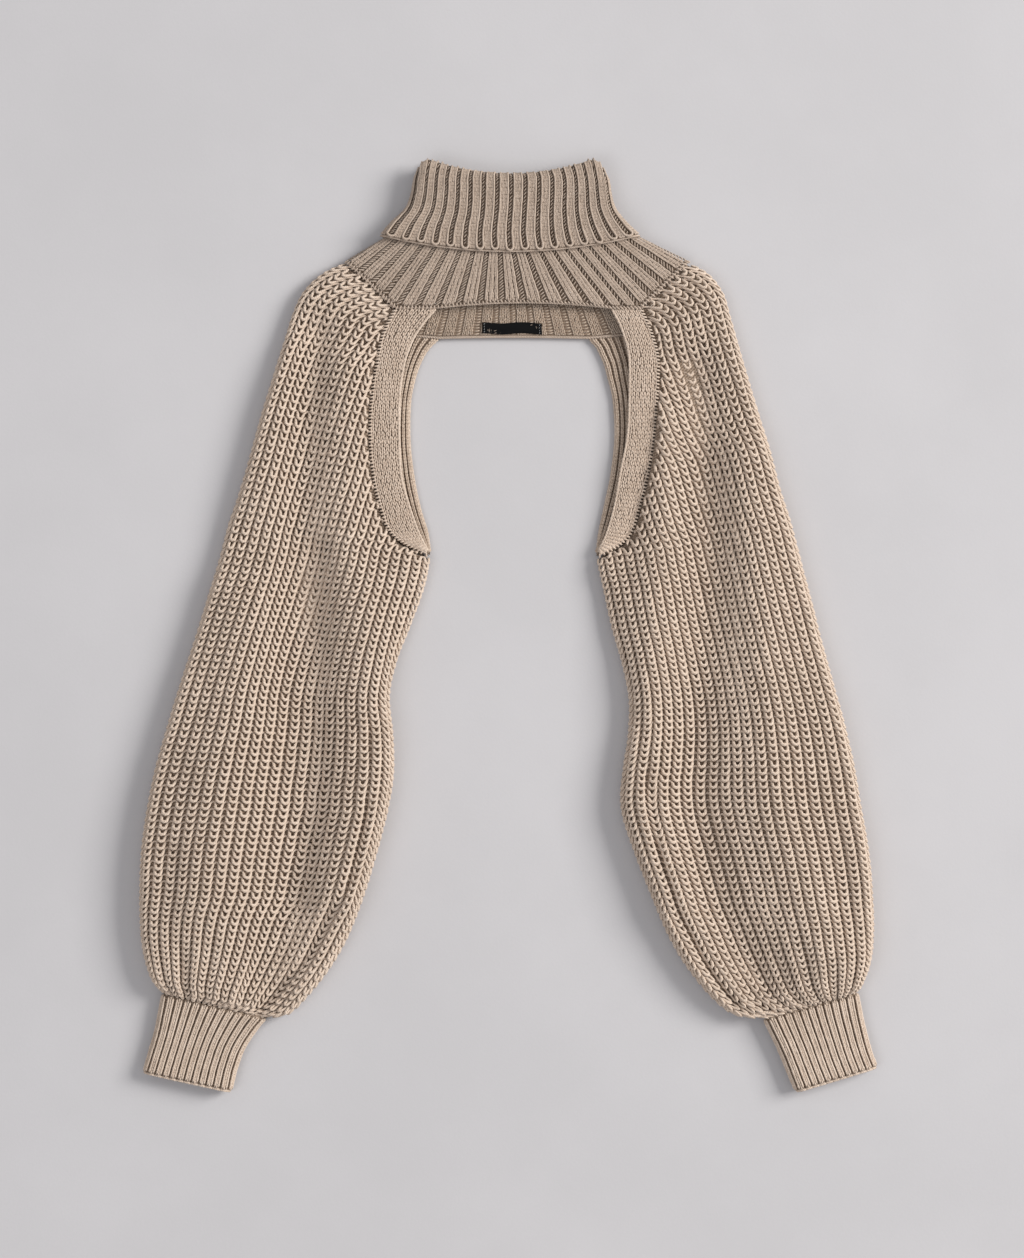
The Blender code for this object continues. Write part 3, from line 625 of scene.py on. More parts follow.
def shell(outer: Array, inner: Array, closed_from: int) -> Shape:
    """The closed wall between two skins of cloth.

    Args:
        outer: Rows and columns of points of the skin that shows.
        inner: As many points on the skin behind it.
        closed_from: The row from which the first and the last column are the same points.

    Returns:
        The wall's points and faces.
    """
    made = Shape()
    front = made.add_grid(outer)
    behind = made.add_grid(inner)
    along = lengths_along(outer.transpose(1, 0, 2)).T
    across = lengths_along(outer)
    spread = np.stack([along, across], axis=-1)
    made.add_faces(front, spread)
    made.add_faces(behind[:, ::-1], spread[:, ::-1])
    for row in (0, -1):
        rim = np.stack([behind[row], front[row]])
        made.add_faces(rim if row == 0 else rim[::-1])
    if closed_from > 0:
        for column in (0, -1):
            rim = np.stack([front[: closed_from + 1, column], behind[: closed_from + 1, column]])
            made.add_faces(rim if column == 0 else rim[::-1])
    return made


def welded(mesh: bpy.types.Mesh) -> bpy.types.Mesh:
    """Joins repeated points of a mesh and turns its faces outwards.

    Args:
        mesh: The mesh, which is changed.

    Returns:
        The same mesh.
    """
    work = bmesh.new()
    work.from_mesh(mesh)
    bmesh.ops.remove_doubles(work, verts=work.verts, dist=0.00002)
    bmesh.ops.recalc_face_normals(work, faces=work.faces)
    if work.calc_volume(signed=True) < 0.0:
        bmesh.ops.reverse_faces(work, faces=work.faces)
    work.to_mesh(mesh)
    work.free()
    mesh.shade_smooth()
    return mesh


def add_object(name: str, mesh: bpy.types.Mesh, finish: Material) -> bpy.types.Object:
    """A mesh as an object of the garment, which rides on its body.

    Args:
        name: The object's name.
        mesh: Its mesh.
        finish: Its material.

    Returns:
        The object.
    """
    mesh.materials.append(finish)
    made = bpy.data.objects.new(name, mesh)
    bpy.context.scene.collection.objects.link(made)
    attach(made, "root")
    return made


# ---------------------------------------------------------------- shaders


class Wire:
    """A number that runs through a shader tree, with the usual arithmetic."""

    def __init__(self, tree: "ShaderTree", socket: Socket) -> None:
        """Keeps the tree and the socket that the number comes from."""
        self.tree = tree
        self.socket = socket

    def _math(self, operation: str, *values: Any) -> "Wire":
        """The result of a Math node on these values."""
        return self.tree.wire("ShaderNodeMath", {"operation": operation}, dict(enumerate(values)))

    def __add__(self, other: Any) -> "Wire":
        """self + other."""
        return self._math("ADD", self, other)

    def __sub__(self, other: Any) -> "Wire":
        """self - other."""
        return self._math("SUBTRACT", self, other)

    def __rsub__(self, other: Any) -> "Wire":
        """other - self."""
        return self._math("SUBTRACT", other, self)

    def __mul__(self, other: Any) -> "Wire":
        """self * other."""
        return self._math("MULTIPLY", self, other)

    def sine(self) -> "Wire":
        """The sine of the number."""
        return self._math("SINE", self)

    def size(self) -> "Wire":
        """The number without its sign."""
        return self._math("ABSOLUTE", self)

    def between(self, low: float, high: float) -> "Wire":
        """0 up to low, 1 from high, and even between them."""
        settings = {"interpolation_type": "SMOOTHSTEP"}
        inputs = {"Value": self, "From Min": low, "From Max": high}
        return self.tree.wire("ShaderNodeMapRange", settings, inputs)


class ShaderTree:
    """The nodes of one material."""

    def __init__(self, name: str) -> None:
        """Makes an empty material.

        Args:
            name: Its name.
        """
        self.material = bpy.data.materials.new(name)
        self.material.use_nodes = True
        self.material.node_tree.nodes.clear()

    def node(
        self, kind: str, settings: dict[str, Any] | None = None, values: dict[Any, Any] | None = None
    ) -> bpy.types.Node:
        """Adds a node.

        Args:
            kind: The node's type.
            settings: What is set on the node first. "stops" are a ramp's places and colours.
            values: A value, a wire or a socket for each input, by name or number.

        Returns:
            The node.
        """
        made = self.material.node_tree.nodes.new(kind)
        for key, setting in (settings or {}).items():
            if key == "stops":
                self._set_stops(made.color_ramp, setting)
            else:
                setattr(made, key, setting)
        for key, value in (values or {}).items():
            source = value.socket if isinstance(value, Wire) else value
            if isinstance(source, Socket):
                self.material.node_tree.links.new(source, made.inputs[key])
            else:
                made.inputs[key].default_value = source
        return made

    def _set_stops(self, ramp: bpy.types.ColorRamp, stops: Sequence[tuple[float, tuple]]) -> None:
        """Gives a ramp these stops.

        Args:
            ramp: The ramp.
            stops: A place and a colour for each stop.
        """
        while len(ramp.elements) > 1:
            ramp.elements.remove(ramp.elements[0])
        for number, (place, colour) in enumerate(stops):
            element = ramp.elements[0] if number == 0 else ramp.elements.new(place)
            element.position = place
            element.color = (*colour, 1.0)

    def wire(self, kind: str, settings: dict[str, Any], values: dict[Any, Any]) -> Wire:
        """The number that a new node gives first."""
        return Wire(self, self.node(kind, settings, values).outputs[0])

    def mixed(self, factor: Any, first: Any, second: Any, blend: str = "MIX") -> Socket:
        """A colour mixed from two.

        Args:
            factor: Share of the second colour.
            first: The first colour, as a socket or as numbers.
            second: The second colour.
            blend: How they mix.

        Returns:
            The socket that the colour comes from.
        """
        colours = [(*c, 1.0) if isinstance(c, tuple) else c for c in (first, second)]
        settings = {"data_type": "RGBA", "blend_type": blend}
        inputs = {0: factor, 6: colours[0], 7: colours[1]}
        return self.node("ShaderNodeMix", settings, inputs).outputs[2]

    def place(self) -> Socket:
        """Places on the piece, in metres."""
        return self.node("ShaderNodeTexCoord").outputs["Object"]

    def noise(self, place: Any, scale: float, detail: float = 2.0, rough: float = 0.5) -> Wire:
        """Soft noise of about 0 to 1, with this many cells to a metre."""
        inputs = {"Vector": place, "Scale": scale, "Detail": detail, "Roughness": rough}
        return self.wire("ShaderNodeTexNoise", {}, inputs)

    def bump(self, height: Wire, depth: float, strength: float) -> Socket:
        """Small relief of this height, as deep as this in millimetres."""
        inputs = {"Height": height, "Distance": depth * MM, "Strength": strength}
        return self.node("ShaderNodeBump", {}, inputs).outputs[0]

    def finish(
        self, colour: Any, bump: Any, roughness: float, specular: float, more: dict[str, Any] | None = None
    ) -> Material:
        """Ends the tree in a Principled shader.

        Args:
            colour: Where its colour comes from.
            bump: Where its relief comes from.
            roughness: How matt it is.
            specular: How strongly it mirrors.
            more: Its other inputs.

        Returns:
            The material.
        """
        values = {"Base Color": colour, "Roughness": roughness, "Specular IOR Level": specular}
        values = {**values, **(more or {}), "Normal": bump}
        shader = self.node("ShaderNodeBsdfPrincipled", {}, values)
        self.node("ShaderNodeOutputMaterial", {}, {"Surface": shader.outputs[0]})
        return self.material


@dataclass(frozen=True)
class YarnFinish:
    """Plied wool blend in which lighter and darker fibres are mixed, with painted shade in the grooves
    between the plies.
    """

    name: str
    light: Colour = (0.79, 0.655, 0.54)
    middle: Colour = (0.67, 0.54, 0.432)
    dark: Colour = (0.4, 0.3, 0.225)
    plies: float = 3.0
    twist: float = 7.0  # millimetres for one turn of the plies
    depth: float = 0.35  # millimetres that the plies stand out
    roughness: float = 0.92
    sheen: float = 0.22

    def material(self) -> Material:
        """Makes the material of this yarn.

        Returns:
            The material.
        """
        tree = ShaderTree(self.name)
        strand = tree.node("ShaderNodeUVMap", {"uv_map": "strand"}).outputs[0]
        parts = tree.node("ShaderNodeSeparateXYZ", {}, {0: strand})
        along = Wire(tree, parts.outputs[0]) * 10.0  # millimetres
        around = Wire(tree, parts.outputs[1]) * 10.0  # turns
        ply = ((along * (1.0 / self.twist) + around) * (math.pi * self.plies)).sine().size()
        fibre_place = tree.node("ShaderNodeCombineXYZ", {}, {0: along * 0.35, 1: around * 7.0})
        fibre = tree.noise(fibre_place.outputs[0], 1.0, 3.0, 0.65)
        place = tree.place()
        fleck = tree.noise(place, 700.0, 3.0, 0.7)
        tone = tree.noise(place, 95.0, 2.0, 0.6)
        cloud = tree.noise(place, 14.0, 2.0, 0.5)
        mottle = fibre * 0.45 + fleck * 0.4 + tone * 0.25 + cloud * 0.1
        stops = {"stops": ((0.0, self.dark), (0.42, self.middle), (0.62, self.light), (1.0, self.light))}
        wool = tree.node("ShaderNodeValToRGB", stops, {"Fac": (mottle - 0.32) * 1.55}).outputs[0]
        # painted shade: the colour darkens towards the dark tone in the grooves between the plies
        creases = tree.mixed((1.0 - ply).between(0.35, 1.0) * 0.45, wool, self.dark)
        bump = tree.bump(ply * 0.8 + fibre * 0.35, self.depth, 0.9)
        sheen = {"Sheen Weight": self.sheen, "Sheen Roughness": 0.45, "Sheen Tint": (1.0, 0.93, 0.84, 1.0)}
        return tree.finish(creases, bump, self.roughness, 0.25, sheen)


@dataclass(frozen=True)
class GroundFinish:
    """The cloth behind the stitches: the same wool, coloured far darker than the yarn as painted shade in the
    gaps between the stitches.
    """

    name: str
    light: Colour = (0.42, 0.315, 0.235)
    dark: Colour = (0.19, 0.135, 0.094)
    loop: float = 2.6  # millimetres between the loops that show behind the stitches
    roughness: float = 0.95

    def material(self) -> Material:
        """Makes the material of this cloth.

        Returns:
            The material.
        """
        tree = ShaderTree(self.name)
        spread = tree.node("ShaderNodeUVMap", {"uv_map": "strand"}).outputs[0]
        parts = tree.node("ShaderNodeSeparateXYZ", {}, {0: spread})
        along = Wire(tree, parts.outputs[0]) * (20.0 * math.pi / self.loop)
        across = Wire(tree, parts.outputs[1]) * (20.0 * math.pi / self.loop)
        loops = (along + across.sine() * 0.9).sine() * 0.5 + 0.5
        place = tree.place()
        fleck = tree.noise(place, 520.0, 3.0, 0.7)
        # painted shade between the loops and painted highlight on them, mixed with random flecks
        shade = (loops * 0.5 + fleck * 0.7).between(0.25, 0.95)
        colour = tree.mixed(shade, self.dark, self.light)
        bump = tree.bump(loops + fleck * 0.5, 0.6, 0.9)
        sheen = {"Sheen Weight": 0.1, "Sheen Roughness": 0.5}
        return tree.finish(colour, bump, self.roughness, 0.2, sheen)


@dataclass(frozen=True)
class TapeFinish:
    """A close woven tape."""

    name: str
    colour: Colour
    lit: Colour
    thread: float = 0.45  # millimetres between two threads
    roughness: float = 0.9

    def material(self) -> Material:
        """Makes the material of this tape.

        Returns:
            The material.
        """
        tree = ShaderTree(self.name)
        place = tree.place()
        parts = tree.node("ShaderNodeSeparateXYZ", {}, {0: place})
        across = (Wire(tree, parts.outputs[0]) * (math.pi / (self.thread * MM))).sine().size()
        along = (Wire(tree, parts.outputs[1]) * (math.pi / (self.thread * MM))).sine().size()
        weave = across * 0.6 + along * 0.4
        fleck = tree.noise(place, 900.0)
        # painted highlight: the lit colour rises on the crests of the threads, mixed with random flecks
        colour = tree.mixed((weave * 0.6 + fleck * 0.5).between(0.3, 1.0), self.colour, self.lit)
        bump = tree.bump(weave, 0.12, 0.8)
        return tree.finish(colour, bump, self.roughness, 0.12)


@dataclass(frozen=True)
class FloorFinish:
    """A pale, even, matt floor with a faint cloud in it."""

    name: str
    pale: Colour = (0.585, 0.572, 0.58)
    deep: Colour = (0.55, 0.538, 0.545)

    def material(self) -> Material:
        """Makes the material of the floor.

        Returns:
            The material.
        """
        tree = ShaderTree(self.name)
        place = tree.place()
        cloud = tree.noise(place, 3.2, 5.0, 0.62)
        grain = tree.noise(place, 420.0, 3.0, 0.6)
        colour = tree.mixed((cloud * 0.9 + grain * 0.18).between(0.35, 0.75), self.deep, self.pale)
        bump = tree.bump(grain, 0.15, 0.4)
        return tree.finish(colour, bump, 0.85, 0.2)


# ---------------------------------------------------------------- stitches


@dataclass(frozen=True)
class RibKnit:
    """Ribs of raised columns of V stitches, with the bars of the purl side between them."""

    ribs: int
    wales: tuple[float, ...]  # where the columns stand in a rib, as shares of it
    reach: Pair  # a leg's distance from its column at its foot and at its head
    ledge: Pair  # half widths to which a rib is level, and where it has fallen away
    relief: float  # millimetres that a rib stands out
    course: float  # millimetres from one stitch to the next
    leg: float  # half a leg's width
    bar: Pair = (0.14, 0.62)  # half the length of a bar, in ribs, and half its width
    slant: float = 0.3  # how far a bar's ends stand from its middle, in courses
    hem: float = 0.0  # width of the even edge in which the valleys end
    rib_width: float = 0.0  # width of a rib for which a leg has its full width, or 0
    cords: tuple[float, ...] = ()  # where unbroken strands run along a rib, as shares of it
    cord: float = 0.8  # half the width of such a strand
    per_rib: int = NECK_COLUMNS  # columns of the cloth to a rib

    def profile(self, columns: Array, distance: Array | float = 99.0) -> Array:
        """Height of the ribs over the valleys.

        Args:
            columns: Places across the cloth, counted in ribs.
            distance: Distance from the hem.

        Returns:
            The height at each place.
        """
        away = np.abs(columns % 1.0 - 0.5)
        fall = np.clip((self.ledge[1] - away) / (self.ledge[1] - self.ledge[0]), 0.0, 1.0)
        level = np.clip((self.hem + 2.5 - distance) / 2.5, 0.0, 1.0)
        rise = eased(fall)
        return self.relief * (rise + (1.0 - rise) * level)

    def lay(
        self, cloth: Cloth, span: Pair, rng: Generator, sides: int = 4, foot_first: bool = True
    ) -> Shape:
        """Lays the stitches over a stretch of cloth.

        Args:
            cloth: The cloth, with per_rib columns to each rib.
            span: Distances from the cloth's first row between which the stitches lie.
            rng: Where the unevenness comes from.
            sides: Sides of a leg.
            foot_first: Whether the feet of the stitches point to the first row.

        Returns:
            The stitches.
        """
        made = Shape()
        courses = max(1, int((span[1] - span[0]) / self.course))
        pitch = (span[1] - span[0]) / courses
        grid = np.meshgrid(
            np.arange(self.ribs),
            np.array(self.wales),
            np.array([-1.0, 1.0]),
            np.arange(courses),
            indexing="ij",
        )
        rib, wale, side, course = (axis.ravel()[:, None] for axis in grid)
        share = np.array([0.0, 0.2, 0.8, 1.0])
        sway = rng.normal(0.0, 0.01, rib.shape)
        columns = rib + wale + side * (self.reach[0] + (self.reach[1] - self.reach[0]) * share) + sway
        shift = 0.5 + 0.68 - 1.36 * share
        rows = course + (1.0 - shift if foot_first else shift) + rng.normal(0.0, 0.05, rib.shape)
        distance = span[0] + np.clip(rows, 0.0, courses) * pitch
        lift = self.profile(columns, distance) + np.array([-0.5, 0.2, 0.25, -0.45]) * self.leg
        lift = lift + rng.normal(0.0, 0.08, rib.shape)
        places = cloth.row_at(distance)
        columns = columns * self.per_rib
        paths, facing = cloth.at(places, columns, lift)
        radii = self.leg * np.array([0.0, 1.0, 0.95, 0.0]) * rng.uniform(0.9, 1.1, rib.shape)
        radii = radii * self.narrowing(cloth, places, columns)
        made.add_strands(paths, facing, radii, sides)
        if self.bar[0] > 0.0:
            self._lay_bars(made, cloth, span, courses, rng)
        if self.cords:
            self._lay_cords(made, cloth, span, rng)
        return made

    def narrowing(self, cloth: Cloth, rows: Array, columns: Array) -> Array | float:
        """How much thinner the yarn lies where the ribs crowd.

        Args:
            cloth: The cloth.
            rows: Places counted in its rows.
            columns: Places counted in its columns.

        Returns:
            The share of its full width at each place.
        """
        if self.rib_width <= 0.0:
            return 1.0
        near, _ = cloth.at(rows, columns - 1.0, 0.0)
        far, _ = cloth.at(rows, columns + 1.0, 0.0)
        width = np.linalg.norm(far - near, axis=-1) * 0.5 * self.per_rib
        return np.clip(width / self.rib_width, 0.55, 1.15)

    def _lay_cords(self, made: Shape, cloth: Cloth, span: Pair, rng: Generator) -> None:
        """Adds the unbroken strands along the ribs.

        Args:
            made: Where they are added.
            cloth: The cloth.
            span: Distances from the cloth's first row between which they lie.
            rng: Where the unevenness comes from.
        """
        rib, place = np.meshgrid(np.arange(self.ribs), np.array(self.cords), indexing="ij")
        distance = np.linspace(span[0], span[1], max(4, int((span[1] - span[0]) / 2.4)))[None]
        columns = (rib + place).ravel()[:, None] + rng.normal(0.0, 0.008, (rib.size, distance.size))
        lift = self.profile(columns, distance) + 0.15 + rng.normal(0.0, 0.07, columns.shape)
        places = cloth.row_at(distance) + 0.0 * columns
        columns = columns * self.per_rib
        paths, facing = cloth.at(places, columns, lift)
        radii = self.cord * (1.0 + rng.normal(0.0, 0.06, columns.shape))
        radii = radii * self.narrowing(cloth, places, columns)
        made.add_strands(paths, facing, radii, 5)

    def _lay_bars(
        self, made: Shape, cloth: Cloth, span: Pair, courses: int, rng: Generator
    ) -> None:
        """Adds the bars across the valleys.

        Args:
            made: Where they are added.
            cloth: The cloth.
            span: Distances from the cloth's first row between which they lie.
            courses: Stitches along a rib.
            rng: Where the unevenness comes from.
        """
        pitch = (span[1] - span[0]) / courses
        valley, course = np.meshgrid(np.arange(self.ribs + 1), np.arange(courses), indexing="ij")
        valley, course = valley.ravel()[:, None], course.ravel()[:, None]
        share = np.array([-1.0, -0.35, 0.35, 1.0])
        clear = (span[0] + course * pitch > self.hem + 1.5)[:, 0]
        valley, course = valley[clear], course[clear]
        half = self.bar[0] * (1.0 + rng.normal(0.0, 0.08, valley.shape))
        columns = np.clip(valley + half * share, 0.0, self.ribs)
        rows = course + 0.5 + self.slant * share + rng.normal(0.0, 0.06, valley.shape)
        rows = np.clip(rows, 0.0, courses)
        lift = np.array([0.4, 0.9, 0.9, 0.4]) + rng.normal(0.0, 0.06, valley.shape)
        places = cloth.row_at(span[0] + rows * pitch)
        paths, facing = cloth.at(places, columns * self.per_rib, lift)
        radii = self.bar[1] * np.array([0.0, 1.0, 1.0, 0.0]) * np.ones(valley.shape)
        made.add_strands(paths, facing, radii, 3)


@dataclass(frozen=True)
class LoopKnit:
    """Chunky courses in which one strand runs across all wales in deep loops."""

    course: float = 7.0
    lower_course: float = 6.25  # below the underarm
    swing: float = 0.6  # half of a loop's height, in courses
    bend: float = 0.076  # how upright a loop's legs stand, in wales
    spread: float = 0.012  # how far the legs stand apart, in wales
    crown: float = 0.6  # how far the loops stand out
    foot: float = 1.0  # how far their feet stand over their legs
    dip: float = 2.6  # how far the strand dives between two wales
    yarn: float = 1.5
    full_wale: float = 8.4  # width of a wale for which the yarn has its full width

    def strand(
        self, course: int, wales: Array, uneven: tuple[Array, Array], open_share: Array, slack: Array
    ) -> tuple[Array, Array, Array, Array]:
        """One course's strand.

        Args:
            course: The course's number.
            wales: Places along the course, counted in wales.
            uneven: Two noise values at each place.
            open_share: 1 where the knit is stretched open, 0 where it lies close.
            slack: 1 where the loops lie flat, 0 where they stand out.

        Returns:
            The strand's places in courses and in wales, its lift and its half width.
        """
        turn = 2.0 * math.pi * wales
        away = np.abs(wales % 1.0 - 0.5)
        swing = (self.swing + 0.04 * open_share) * (1.0 + 0.16 * uneven[0])
        rows = course + 0.5 - swing * np.cos(turn) + (0.09 + 0.06 * slack) * uneven[1]
        columns = wales + self.bend * (1.0 - 0.15 * open_share) * np.sin(2.0 * turn)
        columns = columns - self.spread * np.sin(turn) + (0.03 + 0.05 * slack) * uneven[0]
        reach = np.clip((away - 0.14) / 0.3, 0.0, 1.0)
        dive = eased(reach)
        dip = self.dip * (1.0 - 0.2 * open_share) * (1.0 - 0.7 * slack)
        foot = np.exp(-((away / 0.17) ** 2))
        lift = self.crown + self.foot * (1.0 - 0.8 * slack) * foot - dip * dive + 0.2 * uneven[1]
        width = self.yarn * (1.0 + 0.05 * foot - 0.2 * dive - 0.1 * open_share + 0.16 * slack)
        width = width * (1.0 + 0.07 * uneven[0])
        return rows, columns, lift, width

    def level_share(self, wales: Array) -> Array:
        """How far a slanting course is set level within each wale, so that its loops stay upright.

        Args:
            wales: Places along the course, counted in wales.

        Returns:
            The distance from the middle of the wale, falling back to 0 where the strand dives.
        """
        away = wales % 1.0 - 0.5
        fall = np.clip((np.abs(away) - 0.28) / 0.22, 0.0, 1.0)
        return away * (1.0 - eased(fall))


def rope(
    made: Shape,
    cloth_path: Array,
    facing: Array,
    thickness: float,
    spread: float,
    turn_length: float,
    sides: int = 5,
    step: float = 1.1,
) -> None:
    """Adds two strands twisted round a path, as a linked seam or a cast-off edge.

    Args:
        made: Where the strands are added.
        cloth_path: The path's points.
        facing: The way that the cloth faces at each of them.
        thickness: Half a strand's width.
        spread: How far each strand swings from the path.
        turn_length: Millimetres for one turn.
        sides: Sides of a strand.
        step: Millimetres between two rings of a strand.
    """
    along = lengths_along(cloth_path)
    places = np.linspace(0.0, along[-1], max(6, int(along[-1] / step)))
    path = at_lengths(cloth_path, places)
    up = unit(np.column_stack([np.interp(places, along, axis) for axis in facing.T]))
    side = unit(np.cross(up, np.gradient(path, axis=0)))
    for start in (0.0, math.pi):
        angle = 2.0 * math.pi * places / turn_length + start
        swing = spread * (np.cos(angle)[:, None] * side + 0.7 * np.sin(angle)[:, None] * up)
        radii = np.full((1, len(places)), thickness)
        made.add_strands((path + swing)[None], up[None], radii, sides)


def links(
    made: Shape, near: Array, far: Array, facing: Array, pitch: float, thickness: float, rise: float = 0.5
) -> None:
    """Adds the short stitches that link two edges.

    Args:
        made: Where the stitches are added.
        near: A path on one side of the seam.
        far: A path with as many points on the other side.
        facing: The way that the cloth faces at each of them.
        pitch: Millimetres from one stitch to the next.
        thickness: Half a stitch's width.
        rise: How far a stitch's middle stands over its ends.
    """
    along = lengths_along(near)
    count = max(2, int(along[-1] / pitch))
    places = (np.arange(count) + 0.5) / count * along[-1]
    start, end, up = (
        np.column_stack([np.interp(places + shift, along, axis) for axis in values.T])[:, None]
        for values, shift in ((near, 0.0), (far, 0.3 * pitch), (facing, 0.0))
    )
    share = np.array([0.0, 0.25, 0.75, 1.0])[:, None]
    paths = start + (end - start) * share + rise * np.sin(math.pi * share) * up
    radii = thickness * np.array([0.0, 1.0, 1.0, 0.0]) * np.ones((count, 1))
    made.add_strands(paths, np.repeat(unit(up), 4, axis=1), radii, 4)


# ---------------------------------------------------------------- pieces


@dataclass(frozen=True)
class Finishes:
    """The materials of the garment."""

    chunky: Material
    fine: Material
    neck: Material
    # a darker copy of the fine wool, as painted shade for stitches that lie behind or under other cloth
    shaded: Material
    ground: Material
    label: Material
    thread: Material

    @classmethod
    def make(cls) -> "Finishes":
        """Makes every material once.

        Returns:
            The materials.
        """
        fine = {"plies": 2.0, "twist": 3.6, "depth": 0.18}
        return cls(
            YarnFinish("chunky_wool").material(),
            YarnFinish("fine_wool", (0.77, 0.64, 0.53), (0.65, 0.525, 0.42), **fine).material(),
            YarnFinish(
                "neck_wool", (0.615, 0.505, 0.415), (0.505, 0.405, 0.325), (0.33, 0.25, 0.19), **fine
            ).material(),
            # painted shade: the fine wool made darker for the inside of the back and the back bands
            YarnFinish(
                "fine_wool_painted_shade", (0.72, 0.595, 0.48), (0.59, 0.47, 0.37), (0.33, 0.245, 0.18), **fine
            ).material(),
            # the ground's dark colour is painted shade in the gaps between the stitches
            GroundFinish("wool_ground_painted_shade").material(),
            TapeFinish("black_tape", (0.003, 0.003, 0.0033), (0.008, 0.0078, 0.008)).material(),
            TapeFinish("white_thread", (0.5, 0.5, 0.5), (0.7, 0.7, 0.7)).material(),
        )


@dataclass
class Piece:
    """One knitted piece: its ground cloth, the yarn over it, and what they stand for."""

    name: str
    nodes: tuple[str, ...]
    slot: str
    rests_on: tuple[str, ...]

    def declare(
        self,
        ground: Shape,
        area: float,
        flat: Pair,
        yarn: dict[str, tuple[Shape, Material]],
        cloth: Material,
    ) -> list[bpy.types.Object]:
        """Makes the objects, hides the parts of model.glb that they stand for, and logs their triangles.
            cloth: The ground's material.

        Returns:
            The objects.
        """
        base = add_object(f"{self.name}_ground", welded(ground.mesh(self.name)), cloth)
        parts = []
        for label, (made, finish) in yarn.items():
            part = add_object(f"{self.name}_{label}", made.mesh(f"{self.name}_{label}"), finish)
            parts.append(part)
            log.info("%s_%s: %d triangles", self.name, label, made.triangle_count())
        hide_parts(*self.nodes)
        width, length = (side * MM for side in flat)
        share = min(1.0, max(0.3, area * MM * MM / (width * length)))
        share * width * length
        log.info("%s: ground %d triangles, cut %.0f x %.0f mm", self.name, ground.triangle_count(), *flat)
        return [base, *parts]


@dataclass
class Tube:
    """A flattened tube described by rows across it."""

    side: Side
    rows: tuple[Row, ...]
    underarm: int
    troughs: tuple[Trough, ...] = ()
    crown_share: float = 0.45
    crown_drop: float = 0.14

    def sections(self) -> tuple[Array, Array]:
        """Dense rows of the tube.

        Returns:
            The front's and the back's rows, each from the outer fold to the inner edge.
        """
        last = len(self.rows) - 1
        places = np.arange(last * DENSE + 1) / DENSE
        table = np.array([(*row.fold, row.crown, row.edge) for row in self.rows])
        along = smooth_rows(table, places)
        fold, crown, edge = along[:, :2], along[:, 2:3], along[:, 3:4]
        closing = np.clip(places - (self.underarm - 1.0), 0.0, 1.0)[:, None]
        if self.underarm <= 0:
            closing = np.ones((len(places), 1))
        front = self._edge_path([row.front for row in self.rows], places)
        back = self._edge_path([row.back for row in self.rows], places)

        def height(share: Array, plan: Array) -> Array:
            """Height of the front.

            Args:
                share: Places across a row, as shares.
                plan: The same places in plan.

            Returns:
                The height at each place.
            """
            before = np.clip(1.0 - share / self.crown_share, 0.0, 1.0)
            beyond = np.clip((share - self.crown_share) / (1.0 - self.crown_share), 0.0, 1.0)
            rising = crown * (1.0 - self.crown_drop * before**2)
            return rising - (crown - edge) * beyond**2 + self.relief(share, plan)

        top = self._half(fold, front, height, closing)
        floor = self._half(fold, back, lambda share, plan: 0.0 * plan[..., 0], closing)
        return top, floor

    def relief(self, share: Array, plan: Array) -> Array:
        """Lift of the creases over the front."""
        return troughs_at(plan, self.troughs)[0]

    def _edge_path(self, edge: Sequence[Plan], places: Array) -> Array:
        """Inner edge at the places, with a corner at the underarm.

        Args:
            edge: The inner edge of each row, in plan.
            places: Places counted in rows.

        Returns:
            Points in plan.
        """
        knots = np.array(edge)
        if self.underarm <= 0:
            return smooth_rows(knots, places)
        upper = smooth_rows(knots[: self.underarm + 1], places[places <= self.underarm])
        lower = smooth_rows(knots[self.underarm :], places[places > self.underarm] - self.underarm)
        return np.concatenate([upper, lower])

    def _half(
        self, start: Array, end: Array, height: Callable[[Array, Array], Array], closing: Array
    ) -> Array:
        """One face of the tube.

        Args:
            start: The outer fold of each row, in plan.
            end: The inner edge of each row, in plan.
            height: The face's height by share across and point in plan.
            closing: 1 in rows that close in a fold at the inner edge, 0 in rows that just end.

        Returns:
            Rows of points.
        """
        share = 0.5 - 0.5 * np.cos(np.linspace(0.0, math.pi, SAMPLES))
        plan = start[:, None] + share[None, :, None] * (end - start)[:, None]
        length = np.linalg.norm(end - start, axis=1)[:, None]
        inner_rise = fold_rise((1.0 - share) * length, FOLD_RADIUS)
        rise = fold_rise(share * length, FOLD_RADIUS) * (1.0 - closing * (1.0 - inner_rise))
        face = height(np.broadcast_to(share, plan.shape[:2]), plan)
        return np.concatenate([plan, (MIDDLE + (face - MIDDLE) * rise)[..., None]], axis=-1)

    def flip(self) -> bool:
        """Whether rows run the other way round on this side."""
        return self.side is Side.RIGHT

    def ring(self, top: Array, floor: Array, shares: Array) -> Array:
        """Rows all round the tube, from the back's inner edge to the front's.

        Args:
            top: The front's rows.
            floor: The back's rows.
            shares: Columns as shares of a face's length, -1 to 0 over the back and 0 to 1 over the front.

        Returns:
            Rows and columns of points.
        """
        rows = []
        for front, back in zip(top, floor):
            ahead = at_lengths(front, shares[shares >= 0.0] * lengths_along(front)[-1])
            behind = at_lengths(back, -shares[shares < 0.0] * lengths_along(back)[-1])
            rows.append(np.concatenate([behind, ahead]))
        return np.array(rows)


